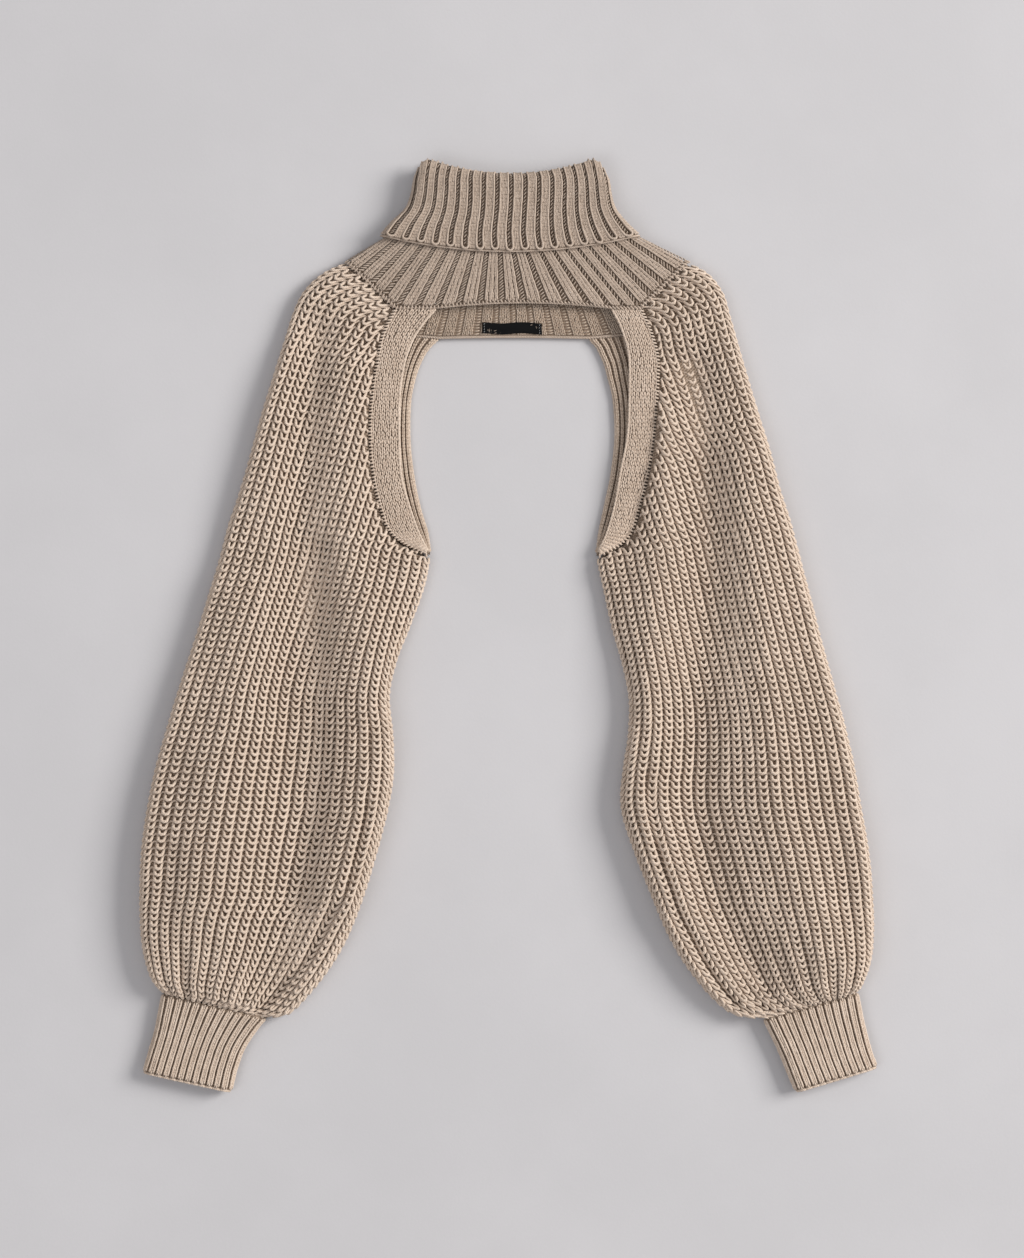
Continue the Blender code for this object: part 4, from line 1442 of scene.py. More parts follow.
@dataclass
class Sleeve(Tube):
    """A balloon sleeve, open towards the bands down to the underarm."""

    knit: LoopKnit = field(default_factory=LoopKnit)
    seed: int = 1
    gather: float = 1.3  # height of the small puffs over the cuff
    seam_inset: float = 0.08  # courses by which a strand stops short of the band
    depths: Pair = (3.3, 0.9)  # how far the strands lie in the cloth, behind and in front
    ground: float = 0.9  # thickness of the cloth behind the strands

    def relief(self, share: Array, plan: Array) -> Array:
        """Lift of the creases and of the puffs where the cuff gathers the sleeve.

        Args:
            share: Places across a row, as shares.
            plan: The same places in plan.

        Returns:
            The lift at each place.
        """
        last = np.array([self.rows[-1].fold, self.rows[-1].front])
        middle = last.mean(axis=0)
        distance = np.linalg.norm(plan - middle, axis=-1)
        puffs = np.sin(share * math.pi * 15.0) * np.exp(-((np.maximum(distance - 40.0, 0.0) / 26.0) ** 2))
        return super().relief(share, plan) + self.gather * puffs

    def wale_grid(self, top: Array, floor: Array) -> tuple[Array, Array, Array, Array]:
        """Points of each dense row at every quarter wale.

        Args:
            top: The front's rows.
            floor: The back's rows.

        Returns:
            The points, the wales of the columns, and the wales at which the front and the back end.
        """
        wales = np.arange(-SLEEVE_WALES * QUARTERS, SLEEVE_WALES * QUARTERS + 1) / QUARTERS
        under = self.underarm * DENSE
        front_length = lengths_along(top)[:, -1]
        back_length = lengths_along(floor)[:, -1]
        upward = np.clip((under - np.arange(len(top))) / under, 0.0, 1.0)
        wider = 1.0 + 0.08 * np.minimum(1.0, 1.6 * upward)
        front_pitch = np.where(upward > 0.0, front_length[under], front_length) / SLEEVE_WALES * wider
        back_pitch = np.where(upward > 0.0, back_length[under], back_length) / SLEEVE_WALES * wider
        rows = []
        for number in range(len(top)):
            ahead = at_lengths(top[number], wales[wales >= 0.0] * front_pitch[number])
            behind = at_lengths(floor[number], -wales[wales < 0.0] * back_pitch[number])
            rows.append(np.concatenate([behind, ahead]))
        return np.array(rows), wales, front_length / front_pitch, -back_length / back_pitch

    def course_cloth(
        self, grid: Array, wales: Array, front: Array, back: Array
    ) -> tuple[Cloth, Array, int, int]:
        """Cloth whose rows are quarter courses.

        Args:
            grid: Points at the dense rows and quarter wales.
            wales: The wales of the columns.
            front: The wale at which the front ends in each row.
            back: The wale at which the back ends in each row.

        Returns:
            The cloth, the first whole course in each column, and the courses above and below the underarm.
        """
        under = self.underarm * DENSE
        upper = lengths_along(grid[: under + 1][::-1].transpose(1, 0, 2)) / self.knit.course
        above = int(math.ceil(upper.max())) + 1
        steps = np.arange(-QUARTERS * above, 1) / QUARTERS
        top_rows = np.empty((len(steps), grid.shape[1], 3))
        first = np.empty(grid.shape[1])
        for column in range(grid.shape[1]):
            path = grid[: under + 1, column][::-1]
            for axis in range(3):
                top_rows[:, column, axis] = np.interp(-steps, upper[column], path[:, axis])
            on_cloth = (wales[column] <= front[: under + 1]) & (wales[column] >= back[: under + 1])
            inside = np.nonzero(~on_cloth[::-1])[0]
            ends = upper[column][inside[0] - 1] if len(inside) and inside[0] > 0 else upper[column][-1]
            first[column] = 0.0 if len(inside) and inside[0] == 0 else -ends
        lower = lengths_along(grid[under:].transpose(1, 0, 2)).mean(axis=0)
        below = int(round(lower[-1] / self.knit.lower_course))
        wanted = np.arange(1, QUARTERS * below + 1) / QUARTERS * lower[-1] / below
        places = np.interp(wanted, lower, np.arange(len(lower)))
        start = np.minimum(np.floor(places).astype(int), len(lower) - 2)
        share = (places - start)[:, None, None]
        low_rows = grid[under:][start] * (1.0 - share) + grid[under:][start + 1] * share
        beyond = (low_rows[-1] - low_rows[-3]) * np.array([0.5, 0.5, 0.08])
        tail = low_rows[-1] + np.arange(1, 4)[:, None, None] * beyond
        cloth = Cloth.over(np.concatenate([top_rows, low_rows, tail]), self.flip())
        return cloth, first, above, below

    def courses(
        self,
        cloth: Cloth,
        wales: Array,
        first: Array,
        above: int,
        below: int,
        span: Pair,
        detail: tuple[int, int],
    ) -> Shape:
        """Lays the courses over one face.

        Args:
            cloth: Cloth whose rows are quarter courses and columns quarter wales.
            wales: The wales of its columns.
            first: The first course in each column.
            above: Courses above the underarm.
            below: Courses below it.
            span: The wales between which the strands run.
            detail: Points to a wale, and sides of a strand.

        Returns:
            The strands.
        """
        made = Shape()
        rng = np.random.default_rng(self.seed)
        shape = (above + below + 2, QUARTERS * 2 * SLEEVE_WALES + 8)
        fields = [0.8 * noise_field(shape, 2, rng) + 0.5 * noise_field(shape, 11, rng) for _ in range(2)]
        slack = troughs_at(cloth.points[..., :2], self.troughs)[1]
        down, across = (QUARTERS * np.gradient(cloth.points, axis=axis) for axis in (0, 1))
        pitch = np.linalg.norm(across, axis=-1)
        slip = np.clip((across * down).sum(axis=-1) / np.maximum((down * down).sum(axis=-1), 9.0), -1.4, 1.4)
        for course in range(-above, below):
            places = np.arange(round(span[0] * detail[0]), round(span[1] * detail[0]) + 1) / detail[0]
            limit = np.interp(places, wales, first)
            free = (course + 0.5 >= limit + self.seam_inset) & (np.abs(places) <= SLEEVE_WALES)
            runs = np.split(np.arange(len(places)), np.nonzero(np.diff(free.astype(int)))[0] + 1)
            runs = [run for run in runs if free[run[0]] and len(run) > detail[0]]
            if not runs:
                continue
            places = places[max(runs, key=len)]
            picks = np.clip(((places + SLEEVE_WALES) * QUARTERS).astype(int), 0, shape[1] - 1)
            uneven = tuple(noise[course + above, picks] for noise in fields)
            shoulder = np.clip((-course - 9.0) / 14.0, 0.0, 1.0) * np.ones(len(places))
            row = min(int((course + 0.5 + above) * QUARTERS), len(slack) - 1)
            loose = np.interp(places, wales, slack[row]) * (places > 0.0)
            rows, columns, lift, width = self.knit.strand(course, places, uneven, shoulder, loose)
            rows = rows - np.interp(places, wales, slip[row]) * self.knit.level_share(places)
            width = width * np.clip(np.interp(places, wales, pitch[row]) / self.knit.full_wale, 0.62, 1.05)
            ends = np.minimum(np.abs(places - 0.3), np.abs(SLEEVE_WALES + 0.3 - np.abs(places)))
            lift = lift * (1.0 - 0.65 * np.exp(-((ends / 1.1) ** 2)))
            behind, ahead = self.depths
            sunk = np.interp(places, (-21.0, -19.5, -1.4, 0.7), (ahead, behind, behind, ahead))
            rows = (rows + above) * QUARTERS
            columns = (columns + SLEEVE_WALES) * QUARTERS
            path, facing = cloth.at(rows, columns, lift - sunk)
            made.add_strands(path[None], facing[None], width[None], detail[1], 0.86)
        return made

    def build(self, finishes: Finishes) -> None:
        """Makes the sleeve's ground and its strands.

        Args:
            finishes: The materials.
        """
        top, floor = self.sections()
        shares = np.concatenate([np.linspace(-1.0, 0.0, 27)[:-1], np.linspace(0.0, 1.0, 45)])
        cloth = Cloth.over(self.ring(top, floor, shares)[::2], self.flip())
        under = self.underarm * DENSE // 2
        cloth.meet(under)
        depth = np.interp(shares, (-1.0, -0.93, -0.07, 0.0), (3.6, 4.4, 4.4, 3.6))[None, :, None]
        outer = cloth.points - depth * cloth.facing
        inner = cloth.points - (depth + self.ground) * cloth.facing
        ground = shell(outer, inner, under)
        across = np.linalg.norm(np.diff(cloth.points, axis=1), axis=-1)
        down = np.linalg.norm(np.diff(cloth.points, axis=0), axis=-1)
        area = float((across[:-1] * down[:, :-1]).sum())
        grid, wales, front, back = self.wale_grid(top, floor)
        knit, first, above, below = self.course_cloth(grid, wales, front, back)
        face = (-1.5, float(SLEEVE_WALES))
        behind = (-float(SLEEVE_WALES), -1.5)
        yarn = {
            "front_courses": (self.courses(knit, wales, first, above, below, face, (8, 5)), finishes.chunky),
            "back_courses": (self.courses(knit, wales, first, above, below, behind, (6, 3)), finishes.chunky),
        }
        name = f"sleeve_{self.side.value}"
        nodes = (f"sleeve_front_{self.side.value}", f"sleeve_back_{self.side.value}")
        width = float(cloth.girths().max())
        length = float(lengths_along(cloth.points.transpose(1, 0, 2))[:, -1].mean())
        Piece(name, nodes, "sleeve", ("floor",)).declare(ground, area, (width, length), yarn, finishes.ground)


@dataclass
class Cuff(Tube):
    """A fine ribbed tube that gathers a sleeve."""

    knit: RibKnit = RibKnit(
        CUFF_RIBS,
        (0.5,),
        (0.01, 0.05),
        (0.34, 0.46),
        1.2,
        2.6,
        0.62,
        (0.0, 0.0),
        cords=(0.25, 0.75),
        cord=1.0,
        per_rib=CUFF_COLUMNS,
    )
    seed: int = 11

    def build(self, finishes: Finishes) -> None:
        """Makes the cuff's ground, its stitches and its cast-off edge.

        Args:
            finishes: The materials.
        """
        rng = np.random.default_rng(self.seed)
        top, floor = self.sections()
        shares = np.linspace(-1.0, 1.0, 2 * CUFF_RIBS * CUFF_COLUMNS + 1)
        cloth = Cloth.over(self.ring(top, floor, shares), self.flip())
        cloth.meet()
        columns = shares * CUFF_RIBS
        relief = self.knit.profile(columns)
        face = cloth.facing * (relief - 1.3)[None, :, None]
        below = np.interp(shares, (-1.0, -0.92, -0.08, 0.0), (0.0, 1.0, 1.0, 0.0))
        sunk = below[None, :, None] * cloth.facing
        ground = shell(cloth.points + face - sunk, cloth.points - 3.4 * cloth.facing - 0.6 * sunk, 0)
        middle = len(shares) // 2
        front = cloth.part(middle)
        back = cloth.sunk(2.8).part(0, middle + 1)
        span = (0.4, front.length() - 0.8)
        yarn = {
            "front_ribs": (self.knit.lay(front, span, rng, 5, False), finishes.fine),
            "back_ribs": (self.knit.lay(back, span, rng, 4, False), finishes.fine),
        }
        edge = Shape()
        hem = cloth.points[-1] + (relief[:, None] - 1.5) * cloth.facing[-1] - 2.4 * sunk[-1]
        rope(edge, hem, cloth.facing[-1], 0.9, 0.6, 3.4)
        yarn["edge"] = (edge, finishes.fine)
        area = float(cloth.girths().mean() * cloth.length())
        flat = (float(cloth.girths().max()), cloth.length())
        name = f"cuff_{self.side.value}"
        Piece(name, (name,), "cuff", ("floor",)).declare(ground, area, flat, yarn, finishes.ground)


@dataclass(frozen=True)
class Band:
    """A narrow strip of fine knit between a sleeve's seam and the band's own free edge."""

    name: str
    face: Face
    seam: tuple[Plan, ...]
    free: tuple[Plan, ...]
    bottoms: tuple[float, ...]
    knit: RibKnit
    flip: bool
    lip: float  # half the thickness of the rolled edge
    seed: int
    tip: float = 0.93  # how far along the last stretch of the seam the pointed end reaches

    def cloth(self) -> Cloth:
        """The upper face: rows down the band, columns from the seam to the free edge.

        Returns:
            The cloth.
        """
        seam = np.array(self.seam)
        seam[-1] = seam[-2] * (1.0 - self.tip) + seam[-1] * self.tip
        last = len(seam) - 1
        places = np.arange(last * DENSE + 1) / DENSE
        table = np.column_stack([seam, np.array(self.free), np.array(self.bottoms)])
        rows = smooth_rows(table, places)
        share = np.linspace(0.0, 1.0, self.knit.ribs * BAND_COLUMNS + 1)
        start, end = rows[:, None, 0:2], rows[:, None, 2:4]
        width = np.linalg.norm(end - start, axis=2, keepdims=True)
        start = start + (end - start) * 2.0 * GAP / width
        plan = start + share[None, :, None] * (end - start)
        dome = 0.9 * np.sin(math.pi * np.clip(share, 0.0, 1.0)) ** 0.5
        height = rows[:, 4:5] + FINE_CLOTH + dome[None, :] - 0.9
        return Cloth.over(np.concatenate([plan, height[..., None]], axis=-1), self.flip)

    def build(self, finishes: Finishes) -> None:
        """Makes the band's ground, its stitches and its rolled edge.

        Args:
            finishes: The materials.
        """
        rng = np.random.default_rng(self.seed)
        cloth = self.cloth()
        columns = np.linspace(0.0, self.knit.ribs, cloth.points.shape[1])
        relief = self.knit.profile(columns)[None, :, None]
        outer = cloth.points + cloth.facing * (relief - 0.9)
        inner = cloth.points.copy()
        inner[..., 2] -= FINE_CLOTH - 0.4
        ground = shell(outer, inner, len(outer) - 1)
        stitches = self.knit.lay(cloth, (0.5, cloth.length() - 1.5), rng, 4, False)
        edge = Shape()
        # the back band lies under the front band's edge and takes the darker copy of the fine wool, painted
        # shade
        finish = finishes.fine if self.face is Face.FRONT else finishes.shaded
        rim = cloth.points[:, -1] + np.array([0.0, 0.0, 0.1])
        rope(edge, rim, cloth.facing[:, -1], self.lip, 0.35, 9.0)
        if self.face is Face.FRONT:
            out = unit(cloth.points[:, 0] - cloth.points[:, 4])
            start, up = cloth.points[:, 0], cloth.facing[:, 0]
            links(edge, start - 2.6 * out + 0.5 * up, start + 2.8 * out + 0.9 * up, up, 3.1, 0.85)
        width = float(cloth.girths().mean())
        flat = (float(cloth.girths().max()), cloth.length())
        yarn = {"stitches": (stitches, finish), "edges": (edge, finish)}
        slot = f"band_{self.face.value}"
        piece = Piece(self.name, (self.name,), slot, ("floor",))
        piece.declare(ground, width * cloth.length(), flat, yarn, finishes.ground)


@dataclass(frozen=True)
class NeckLevel:
    """A ring of the neck: where it runs, how far it is drawn in or out, and its two heights."""

    level: Level
    grow: float
    low: float
    high: float
    lift_y: float = 0.0
    bulge: float = 0.0
    crowd: float = 0.0  # how much closer the ribs stand at the sides than in the middle


NECK_MIDDLE = 10.0
ROLL_PEAK = 14.5  # how much higher the roll stands near its corners than in its middle
ROLL_CORNER = 0.86
ROLL_FALL = 1.05
TURNOVER = (
    Level(2.4, 117.5, 351.0, 336.5),
    Level(1.2, 107.0, 361.5, 354.0),
    Level(2.6, 95.0, 374.5, 373.0),
    Level(3.4, 90.2, 388.0, 390.0),
    Level(3.4, 88.2, 400.0, 402.0),
)
ROLL = Level(3.0, 87.0, 408.0, 407.2)
STAND = (
    Level(3.4, 84.4, 399.0, 400.0),
    Level(3.0, 86.5, 380.0, 377.0),
    Level(3.0, 97.5, 359.0, 349.0),
)


def neck_ring(ring: NeckLevel, high: bool, places: Array, radius: float = FOLD_RADIUS) -> Array:
    """One face of the neck at a ring, from its left fold to its right.

    Args:
        ring: The ring.
        high: Whether the face is the one that lies up.
        places: Columns as shares of the face.
        radius: How softly it turns at its folds.

    Returns:
        Points in millimetres.
    """
    half = ring.level.half_width + ring.grow
    across = -np.cos(np.linspace(0.0, math.pi, SAMPLES))
    distance = (1.0 - np.abs(across)) * half
    rise = fold_rise(distance, radius)
    height = ring.high if high else ring.low
    curve = np.column_stack([across * half, 0.0 * across, NECK_MIDDLE + (height - NECK_MIDDLE) * rise])
    places = places - ring.crowd * np.sin(2.0 * math.pi * places)
    points = at_lengths(curve, places * lengths_along(curve)[-1])
    across = points[:, 0] / half
    level = ring.level
    points[:, 0] += level.centre_x
    points[:, 1] = level.side_y + (level.middle_y - level.side_y) * (1.0 - across**2) + ring.lift_y
    corner = np.clip((np.abs(across) - ROLL_CORNER) / (1.0 - ROLL_CORNER), 0.0, 1.0)
    points[:, 1] += ring.bulge * (across**2 - ROLL_FALL * corner**2)
    return points


@dataclass(frozen=True)
class Collar:
    """The neck: a tube that rolls over at its top and is turned down outside itself."""

    knit: RibKnit = RibKnit(
        COLLAR_RIBS,
        (0.4, 0.6),
        (0.045, 0.055),
        (0.27, 0.36),
        1.7,
        3.0,
        0.8,
        (0.17, 0.72),
        slant=0.8,
        hem=2.0,
        rib_width=12.5,
    )
    draw_in: float = 1.4  # how far the cloth lies within the ribs' faces
    bend: float = 1.4  # distance of the valleys' ends from the hem
    radius: float = 3.2  # how roundly they end
    bare: float = 30.0  # how much of the inside carries no stitches
    seed: int = 21

    def rings(self) -> list[NeckLevel]:
        """Rings from the hem, over the roll and down the inside.

        Returns:
            The rings in that order.
        """
        inset = self.draw_in
        crowds = (0.0, 0.008, 0.022, 0.032, 0.036)
        rings = [
            NeckLevel(level, -inset, inset, 20.8 - inset, crowd=crowd)
            for level, crowd in zip(TURNOVER, crowds)
        ]
        rings.append(NeckLevel(ROLL, -1.2 - inset, 1.2 + inset, 19.6 - inset, -inset - 1.4, ROLL_PEAK, 0.036))
        rings.append(
            NeckLevel(ROLL, -CLOTH - inset, NECK_LOW + inset, NECK_HIGH, -inset - 0.2, ROLL_PEAK, 0.036)
        )
        rings += [NeckLevel(level, -CLOTH, NECK_LOW + CLOTH, NECK_HIGH - CLOTH) for level in STAND]
        return rings

    def cloth(self) -> Cloth:
        """Cloth from the hem to the bottom of the inside.

        Returns:
            The cloth, first the columns of the front and then of the back.
        """
        columns = np.linspace(0.0, 1.0, COLLAR_RIBS * NECK_COLUMNS + 1)
        faces = []
        for high in (True, False):
            knots = np.array([neck_ring(ring, high, columns) for ring in self.rings()])
            places = np.linspace(0.0, len(knots) - 1.0, (len(knots) - 1) * 10 + 1)
            table = knots.reshape(len(knots), -1)
            faces.append(smooth_rows(table, places).reshape(len(places), -1, 3))
        front, back = faces
        whole = Cloth.over(np.concatenate([front, back[:, ::-1][:, 1:]], axis=1), True)
        whole.meet()
        return whole

    def build(self, finishes: Finishes) -> None:
        """Makes the neck's ground, its stitches and its cast-off hem.

        Args:
            finishes: The materials.
        """
        rng = np.random.default_rng(self.seed)
        whole = self.cloth()
        turn = COLLAR_RIBS * NECK_COLUMNS
        front, back = whole.part(0, turn + 1), whole.part(turn)
        columns = np.linspace(0.0, 2.0 * COLLAR_RIBS, whole.points.shape[1])
        distance = lengths_along(whole.points.transpose(1, 0, 2)).mean(axis=0)[:, None]
        relief = self.knit.profile(columns[None, :], distance)[..., None]
        outer = whole.points + whole.facing * (relief - 1.0)
        ground = shell(outer[::2, ::2], whole.sunk(CLOTH).points[::2, ::2], 0)
        length = front.length()
        yarn = {
            "front_ribs": (self.knit.lay(front, (1.0, length - self.bare), rng, 4), finishes.neck),
            "back_ribs": (
                replace(self.knit, course=2.8).lay(back.sunk(1.9), (1.0, 86.0), rng, 3),
                finishes.neck,
            ),
            "hem": (self.hem(front, rng), finishes.neck),
        }
        area = float(whole.girths().mean() * length)
        flat = (float(whole.girths().max()), length)
        piece = Piece("collar", ("collar",), "collar", ("yoke_ground",))
        piece.declare(ground, area, flat, yarn, finishes.ground)

    def hem(self, cloth: Cloth, rng: Generator) -> Shape:
        """The strands that run down both sides of each valley and turn round its end, and the edge.

        Args:
            cloth: The front's cloth.
            rng: Where the unevenness comes from.

        Returns:
            The strands.
        """
        made = Shape()
        turn = np.linspace(0.0, 0.5 * math.pi, 6)
        top = cloth.length() - self.bare
        reach = np.linspace(self.bend + self.radius, top, int(top / 2.2))
        half_rows = np.concatenate([self.bend + self.radius * (1.0 - np.cos(turn)), reach[1:]])
        half_sides = np.concatenate([np.sin(turn), np.ones(len(reach) - 1)])
        rows = np.concatenate([half_rows[:0:-1], half_rows])
        sides = np.concatenate([-half_sides[:0:-1], half_sides])
        for valley in range(1, COLLAR_RIBS):
            column = valley + 0.235 * sides + rng.normal(0.0, 0.008, len(rows))
            row = rows + rng.normal(0.0, 0.4)
            bottom = np.exp(-((row / 8.0) ** 2))
            lift = self.knit.profile(column, row) + 0.3 + 0.5 * bottom + rng.normal(0.0, 0.06, len(rows))
            places = cloth.row_at(row)
            column = column * NECK_COLUMNS
            path, facing = cloth.at(places, column, lift)
            width = 0.95 * self.knit.narrowing(cloth, places, column) + 0.12 * bottom
            made.add_strands(path[None], facing[None], width[None], 5)
        rim = cloth.points[0] + cloth.facing[0] * (self.knit.relief - 1.3)
        rope(made, rim, cloth.facing[0], 0.7, 0.4, 3.4)
        return made


@dataclass(frozen=True)
class Yoke:
    """The short ribbed ring between the neck and the sleeves, open below at front and back."""

    knit: RibKnit = RibKnit(
        NECK_RIBS,
        (0.37, 0.63),
        (0.055, 0.065),
        (0.27, 0.36),
        1.2,
        3.1,
        0.9,
        (0.22, 0.78),
        slant=-1.1,
        rib_width=17.0,
        cords=(0.235, 0.5, 0.765),
        cord=0.95,
    )
    draw_in: float = 0.6  # how far the cloth lies within the ribs' faces
    reach: float = 0.988  # how near the cloth comes to its lower edge
    seed: int = 31
    stretches: tuple[int, ...] = (4, 2, 8, 2, 4)  # ribs that end on each part of the lower edge
    shares: tuple[float, ...] = (0.0, 0.3, 0.46, 0.72, 1.0)
    front_heights: tuple[float, ...] = (16.4, 15.8, 15.0, 13.8, 12.4)
    back_heights: tuple[float, ...] = (3.6, 3.6, 0.0, 0.0, 0.0)
    middles: tuple[float, ...] = (10.0, 9.2, 8.0, 7.0, 6.0)
    hem_rises: Pair = (5.0, 1.0)  # how much higher the hems stand in their middles

    def edge(self, corners: Sequence[Plan], rise: float, places: Array) -> Array:
        """Points on the lower edge.

        Args:
            corners: The edge's corners, in plan.
            rise: How much higher the hem stands in its middle.
            places: Places counted in ribs.

        Returns:
            Points in plan.
        """
        marks = np.concatenate([[0], np.cumsum(self.stretches)])
        plan = np.column_stack([np.interp(places, marks, [c[axis] for c in corners]) for axis in (0, 1)])
        across = np.clip((places - marks[2]) / (marks[3] - marks[2]), 0.0, 1.0)
        plan[:, 1] += rise * 4.0 * across * (1.0 - across)
        return plan

    def face(self, face: Face) -> Array:
        """Rows over one face, from the neck seam to the lower edge.

        Args:
            face: The face.

        Returns:
            Rows and columns of points.
        """
        front = face is Face.FRONT
        left, right = SLEEVE_LEFT[0], SLEEVE_RIGHT[0]
        if front:
            inner = (left.front, FRONT_EDGE_LEFT[0], FRONT_EDGE_RIGHT[0], right.front)
        else:
            inner = (left.back, BACK_EDGE_LEFT[0], BACK_EDGE_RIGHT[0], right.back)
        places = np.linspace(0.0, NECK_RIBS, NECK_RIBS * NECK_COLUMNS + 1)
        low = self.edge((left.fold, *inner, right.fold), self.hem_rises[0 if front else 1], places)
        ring = NeckLevel(STAND[-1], 0.0, NECK_LOW, NECK_HIGH, -GAP)
        neck = neck_ring(ring, front, places / NECK_RIBS)
        high = NECK_HIGH if front else NECK_LOW
        rise_neck = (neck[:, 2] - NECK_MIDDLE) / (high - NECK_MIDDLE)
        along = lengths_along(np.column_stack([low, 0.0 * places]))
        rise_low = fold_rise(along, FOLD_RADIUS) * fold_rise(along[-1] - along, FOLD_RADIUS)
        heights = self.front_heights if front else self.back_heights
        rows = []
        for share in np.linspace(0.0, 1.0, 33):
            reach = share * self.reach
            middle = np.interp(share, self.shares, self.middles)
            height = np.interp(share, self.shares, heights)
            turned = rise_neck * (1.0 - share) + rise_low * share
            plan = neck[:, :2] * (1.0 - reach) + low * reach
            rows.append(np.column_stack([plan, middle + (height - middle) * turned]))
        return np.array(rows)

    def build(self, finishes: Finishes) -> None:
        """Makes the yoke's ground, its stitches, its hems and its sleeve seams.

        Args:
            finishes: The materials.
        """
        rng = np.random.default_rng(self.seed)
        front, back = self.face(Face.FRONT), self.face(Face.BACK)
        whole = Cloth.over(np.concatenate([front, back[:, ::-1][:, 1:]], axis=1))
        whole.meet()
        whole.points -= self.draw_in * whole.facing
        turn = NECK_RIBS * NECK_COLUMNS
        columns = np.linspace(0.0, 2.0 * NECK_RIBS, whole.points.shape[1])
        relief = self.knit.profile(columns)[None, :, None]
        outer = whole.points + whole.facing * (relief - 1.0)
        ground = shell(outer[::2, ::2], whole.sunk(CLOTH).points[::2, ::2], 0)
        front_cloth = whole.part(0, turn + 1)
        behind = whole.part(turn)
        inside = Cloth(behind.sunk(CLOTH).points[-16:], -behind.facing[-16:])
        length = front_cloth.length()
        yarn = {
            "front_ribs": (self.knit.lay(front_cloth, (1.0, length - 2.2), rng, 4, False), finishes.neck),
            "back_ribs": (
                replace(self.knit, course=3.2).lay(behind.sunk(2.3), (8.0, length - 2.0), rng, 3, False),
                finishes.neck,
            ),
            "inside_ribs": (self.inside(inside, rng), finishes.shaded),
            "seams": (self.seams(front_cloth, inside), finishes.neck),
        }
        area = float(whole.girths().mean() * length)
        flat = (float(whole.girths().max()), length)
        piece = Piece("yoke", ("yoke",), "yoke", ("floor",))
        piece.declare(ground, area, flat, yarn, finishes.ground)

    def inside(self, cloth: Cloth, rng: Generator) -> Shape:
        """The stitches on the inside of the back, which shows above its hem."""
        knit = RibKnit(NECK_RIBS, (0.3, 0.5, 0.7), (0.03, 0.07), (0.25, 0.45), 0.5, 2.4, 0.8, (0.16, 0.6))
        return knit.lay(cloth, (1.0, cloth.length() - 1.5), rng, 3, False)

    def seams(self, cloth: Cloth, inside: Cloth) -> Shape:
        """The hems and the linked seams of the sleeves.

        Args:
            cloth: The front's cloth.
            inside: The inside of the back.

        Returns:
            The strands.
        """
        made = Shape()
        columns = np.linspace(0, cloth.points.shape[1] - 1, cloth.points.shape[1])
        relief = self.knit.profile(columns / NECK_COLUMNS)[:, None]
        rim = cloth.points[-1] + cloth.facing[-1] * (0.6 * relief - 0.6)
        rope(made, rim, cloth.facing[-1], 0.75, 0.55, 4.2)
        marks = np.cumsum((0.0, *self.stretches)) * NECK_COLUMNS
        half = 0.5 * NECK_COLUMNS
        ends = (marks[2] - half, marks[2] + half, marks[3] - half, marks[3] + half)
        over = np.interp(columns, ends, (1.0, 0.0, 0.0, 1.0))
        out = unit(cloth.points[-1] - cloth.points[-4])
        near = cloth.points[-1] - 3.0 * out + cloth.facing[-1] * (relief + 0.2)
        far = cloth.points[-1] + (0.2 + 2.6 * over)[:, None] * out + cloth.facing[-1] * 0.6
        links(made, near, far, cloth.facing[-1], 3.4, 0.8)
        low = inside.points[-1] + inside.facing[-1] * 0.1
        rope(made, low, inside.facing[-1], 0.8, 0.7, 5.0)
        return made


@dataclass(frozen=True)
class NeckLabel:
    """A plain woven strip stitched to the inside of the back at its two ends."""

    centre: Plan = (4.0, 268.5)
    size: Plan = (54.0, 10.0)
    thickness: float = 0.5
    height: float = 5.2

    def build(self, finishes: Finishes) -> None:
        """Makes the strip and its end stitches.

        Args:
            finishes: The materials.
        """
        across = np.linspace(-0.5, 0.5, 27)
        down = np.linspace(-0.5, 0.5, 7)
        u, v = np.meshgrid(across, down)
        x = self.centre[0] + self.size[0] * u
        y = self.centre[1] + self.size[1] * v + 0.6 * np.sin(3.0 * u * math.pi)
        z = self.height + 0.35 * np.sin(9.0 * u + 1.3) + 0.25 * np.cos(7.0 * v + 5.0 * u)
        points = np.stack([x, y, z], axis=-1)
        made = shell(points, points - np.array([0.0, 0.0, self.thickness]), len(points) - 1)
        strip = add_object("neck_label", welded(made.mesh("neck_label")), finishes.label)
        threads = Shape()
        up = np.broadcast_to(np.array([0.0, 0.0, 1.0]), (5, 3))
        cloth = Cloth.over(points)
        reach = np.linspace(-1.0, 1.0, 5)
        for end in (-0.462, 0.462):
            for place in (-0.36, -0.14, 0.1, 0.33):
                column = np.interp(end + 0.006 * reach, across, np.arange(27.0))
                row = np.interp(place + 0.07 * reach, down, np.arange(7.0))
                path, _ = cloth.at(row, column, 0.25 * (1.0 - np.abs(reach)))
                threads.add_strands(path[None], up[None], np.full((1, 5), 0.3), 4)
        stitches = add_object("neck_label_stitches", threads.mesh("neck_label_stitches"), finishes.thread)
        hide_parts("label")
        log.info("neck_label: %d triangles", made.triangle_count())


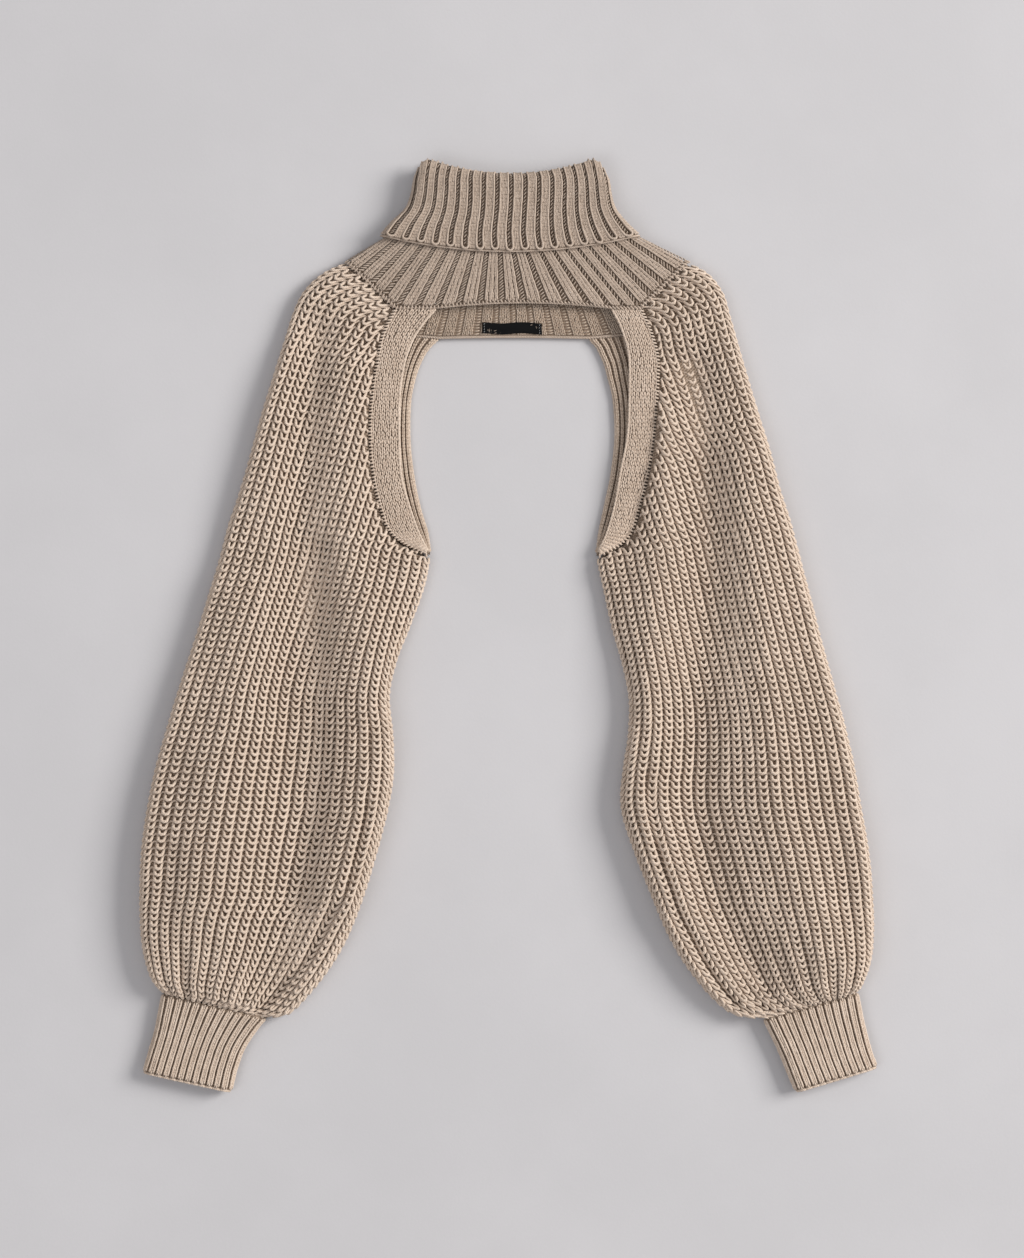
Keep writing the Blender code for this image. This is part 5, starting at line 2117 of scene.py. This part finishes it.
@dataclass(frozen=True)
class Studio:
    """The floor, the soft light and the camera straight above."""

    centre: Plan = (4.05, -2.7)
    frame_height: float = 1132.2
    lens: float = 100.0
    sensor: float = 36.0
    focus_height: float = 12.0
    floor_reach: float = 4.0  # metres from the middle to each edge
    floor_height: float = -0.0004  # metres, just under the garment

    def build(self) -> None:
        """Sets the studio up."""
        self.floor()
        self.lights()
        self.camera()

    def floor(self) -> None:
        """A wide floor just under the garment."""
        made = bpy.data.meshes.new("floor")
        reach = self.floor_reach
        corners = [(-reach, -reach), (reach, -reach), (reach, reach), (-reach, reach)]
        made.from_pydata([(x, y, self.floor_height) for x, y in corners], [], [(0, 1, 2, 3)])
        made.materials.append(FloorFinish("floor").material())
        floor = bpy.data.objects.new("floor", made)
        bpy.context.scene.collection.objects.link(floor)

    def light(
        self,
        name: str,
        place: tuple[float, float, float],
        size: float,
        power: float,
        tint: Colour,
    ) -> None:
        """Adds a square soft light that faces the garment.

        Args:
            name: Its name.
            place: Where it stands, in metres.
            size: Length of its sides, in metres.
            power: Its power in watts.
            tint: Its colour.
        """
        lamp = bpy.data.lights.new(name, "AREA")
        lamp.shape = "SQUARE"
        lamp.size = size
        lamp.energy = power
        lamp.color = tint
        holder = bpy.data.objects.new(name, lamp)
        holder.location = place
        holder.rotation_euler = (-Vector(place)).to_track_quat("-Z", "Y").to_euler()
        bpy.context.scene.collection.objects.link(holder)

    def lights(self) -> None:
        """A soft key from the right, a weak fill, and a pale surround."""
        self.light("key", (6.5, 2.2, 4.1), 3.4, 704.0, (1.0, 0.985, 0.965))
        self.light("fill", (-2.6, -1.6, 4.2), 2.8, 42.0, (0.99, 0.98, 1.0))
        world = bpy.data.worlds.new("surround")
        world.use_nodes = True
        background = world.node_tree.nodes["Background"]
        background.inputs["Color"].default_value = (0.97, 0.97, 1.0, 1.0)
        background.inputs["Strength"].default_value = 0.455
        bpy.context.scene.world = world
        view = bpy.context.scene.view_settings
        view.view_transform = "Standard"
        view.look = "None"

    def camera(self) -> None:
        """The camera straight above."""
        lens = bpy.data.cameras.new("camera")
        lens.lens = self.lens
        lens.sensor_fit = "VERTICAL"
        lens.sensor_height = self.sensor
        lens.clip_end = 20.0
        holder = bpy.data.objects.new("camera", lens)
        distance = self.frame_height * self.lens / self.sensor + self.focus_height
        holder.location = (self.centre[0] * MM, self.centre[1] * MM, distance * MM)
        bpy.context.scene.collection.objects.link(holder)
        bpy.context.scene.camera = holder


FRONT_BOTTOMS = (9.4, 9.3, 9.2, 9.0, 8.9, 8.7, 8.5, 8.3, 8.0, 7.4, 6.5)
BACK_BOTTOMS = (0.6,) * 11
FRONT_KNIT = RibKnit(
    1,
    tuple((2 * n + 1) / 14.0 for n in range(7)),
    (0.016, 0.056),
    (0.5, 0.6),
    0.0,
    3.5,
    0.8,
    (0.0, 0.0),
    per_rib=BAND_COLUMNS,
)
BACK_KNIT = RibKnit(
    5, (0.5,), (0.1, 0.2), (0.25, 0.5), 1.0, 3.0, 0.9, (0.0, 0.0), per_rib=BAND_COLUMNS
)


def bands(side: Side) -> list[Band]:
    """The two bands of a side.

    Args:
        side: The side.

    Returns:
        The front and the back band.
    """
    left = side is Side.LEFT
    rows = (SLEEVE_LEFT if left else SLEEVE_RIGHT)[: UNDERARM + 1]
    front_free = FRONT_EDGE_LEFT if left else FRONT_EDGE_RIGHT
    back_free = BACK_EDGE_LEFT if left else BACK_EDGE_RIGHT
    front = tuple(row.front for row in rows)
    back = tuple(row.back for row in rows)
    flip = not left
    seed = 41 if left else 51
    return [
        Band(
            f"band_front_{side.value}",
            Face.FRONT,
            front,
            front_free,
            FRONT_BOTTOMS,
            FRONT_KNIT,
            flip,
            0.95,
            seed,
        ),
        Band(
            f"band_back_{side.value}",
            Face.BACK,
            back,
            back_free,
            BACK_BOTTOMS,
            BACK_KNIT,
            flip,
            0.9,
            seed + 1,
        ),
    ]


def main() -> None:
    """Builds the garment, the floor, the light and the camera."""
    logging.basicConfig(level=logging.INFO, format="%(message)s")
    finishes = Finishes.make()
    Collar().build(finishes)
    Yoke().build(finishes)
    Sleeve(Side.LEFT, SLEEVE_LEFT, UNDERARM, TROUGHS_LEFT, seed=1).build(finishes)
    Sleeve(Side.RIGHT, SLEEVE_RIGHT, UNDERARM, TROUGHS_RIGHT, seed=2).build(finishes)
    Cuff(Side.LEFT, CUFF_LEFT, 0, seed=11).build(finishes)
    Cuff(Side.RIGHT, CUFF_RIGHT, 0, seed=12).build(finishes)
    for side in Side:
        for band in bands(side):
            band.build(finishes)
    NeckLabel().build(finishes)
    Studio().build()


if __name__ == "__main__":
    main()
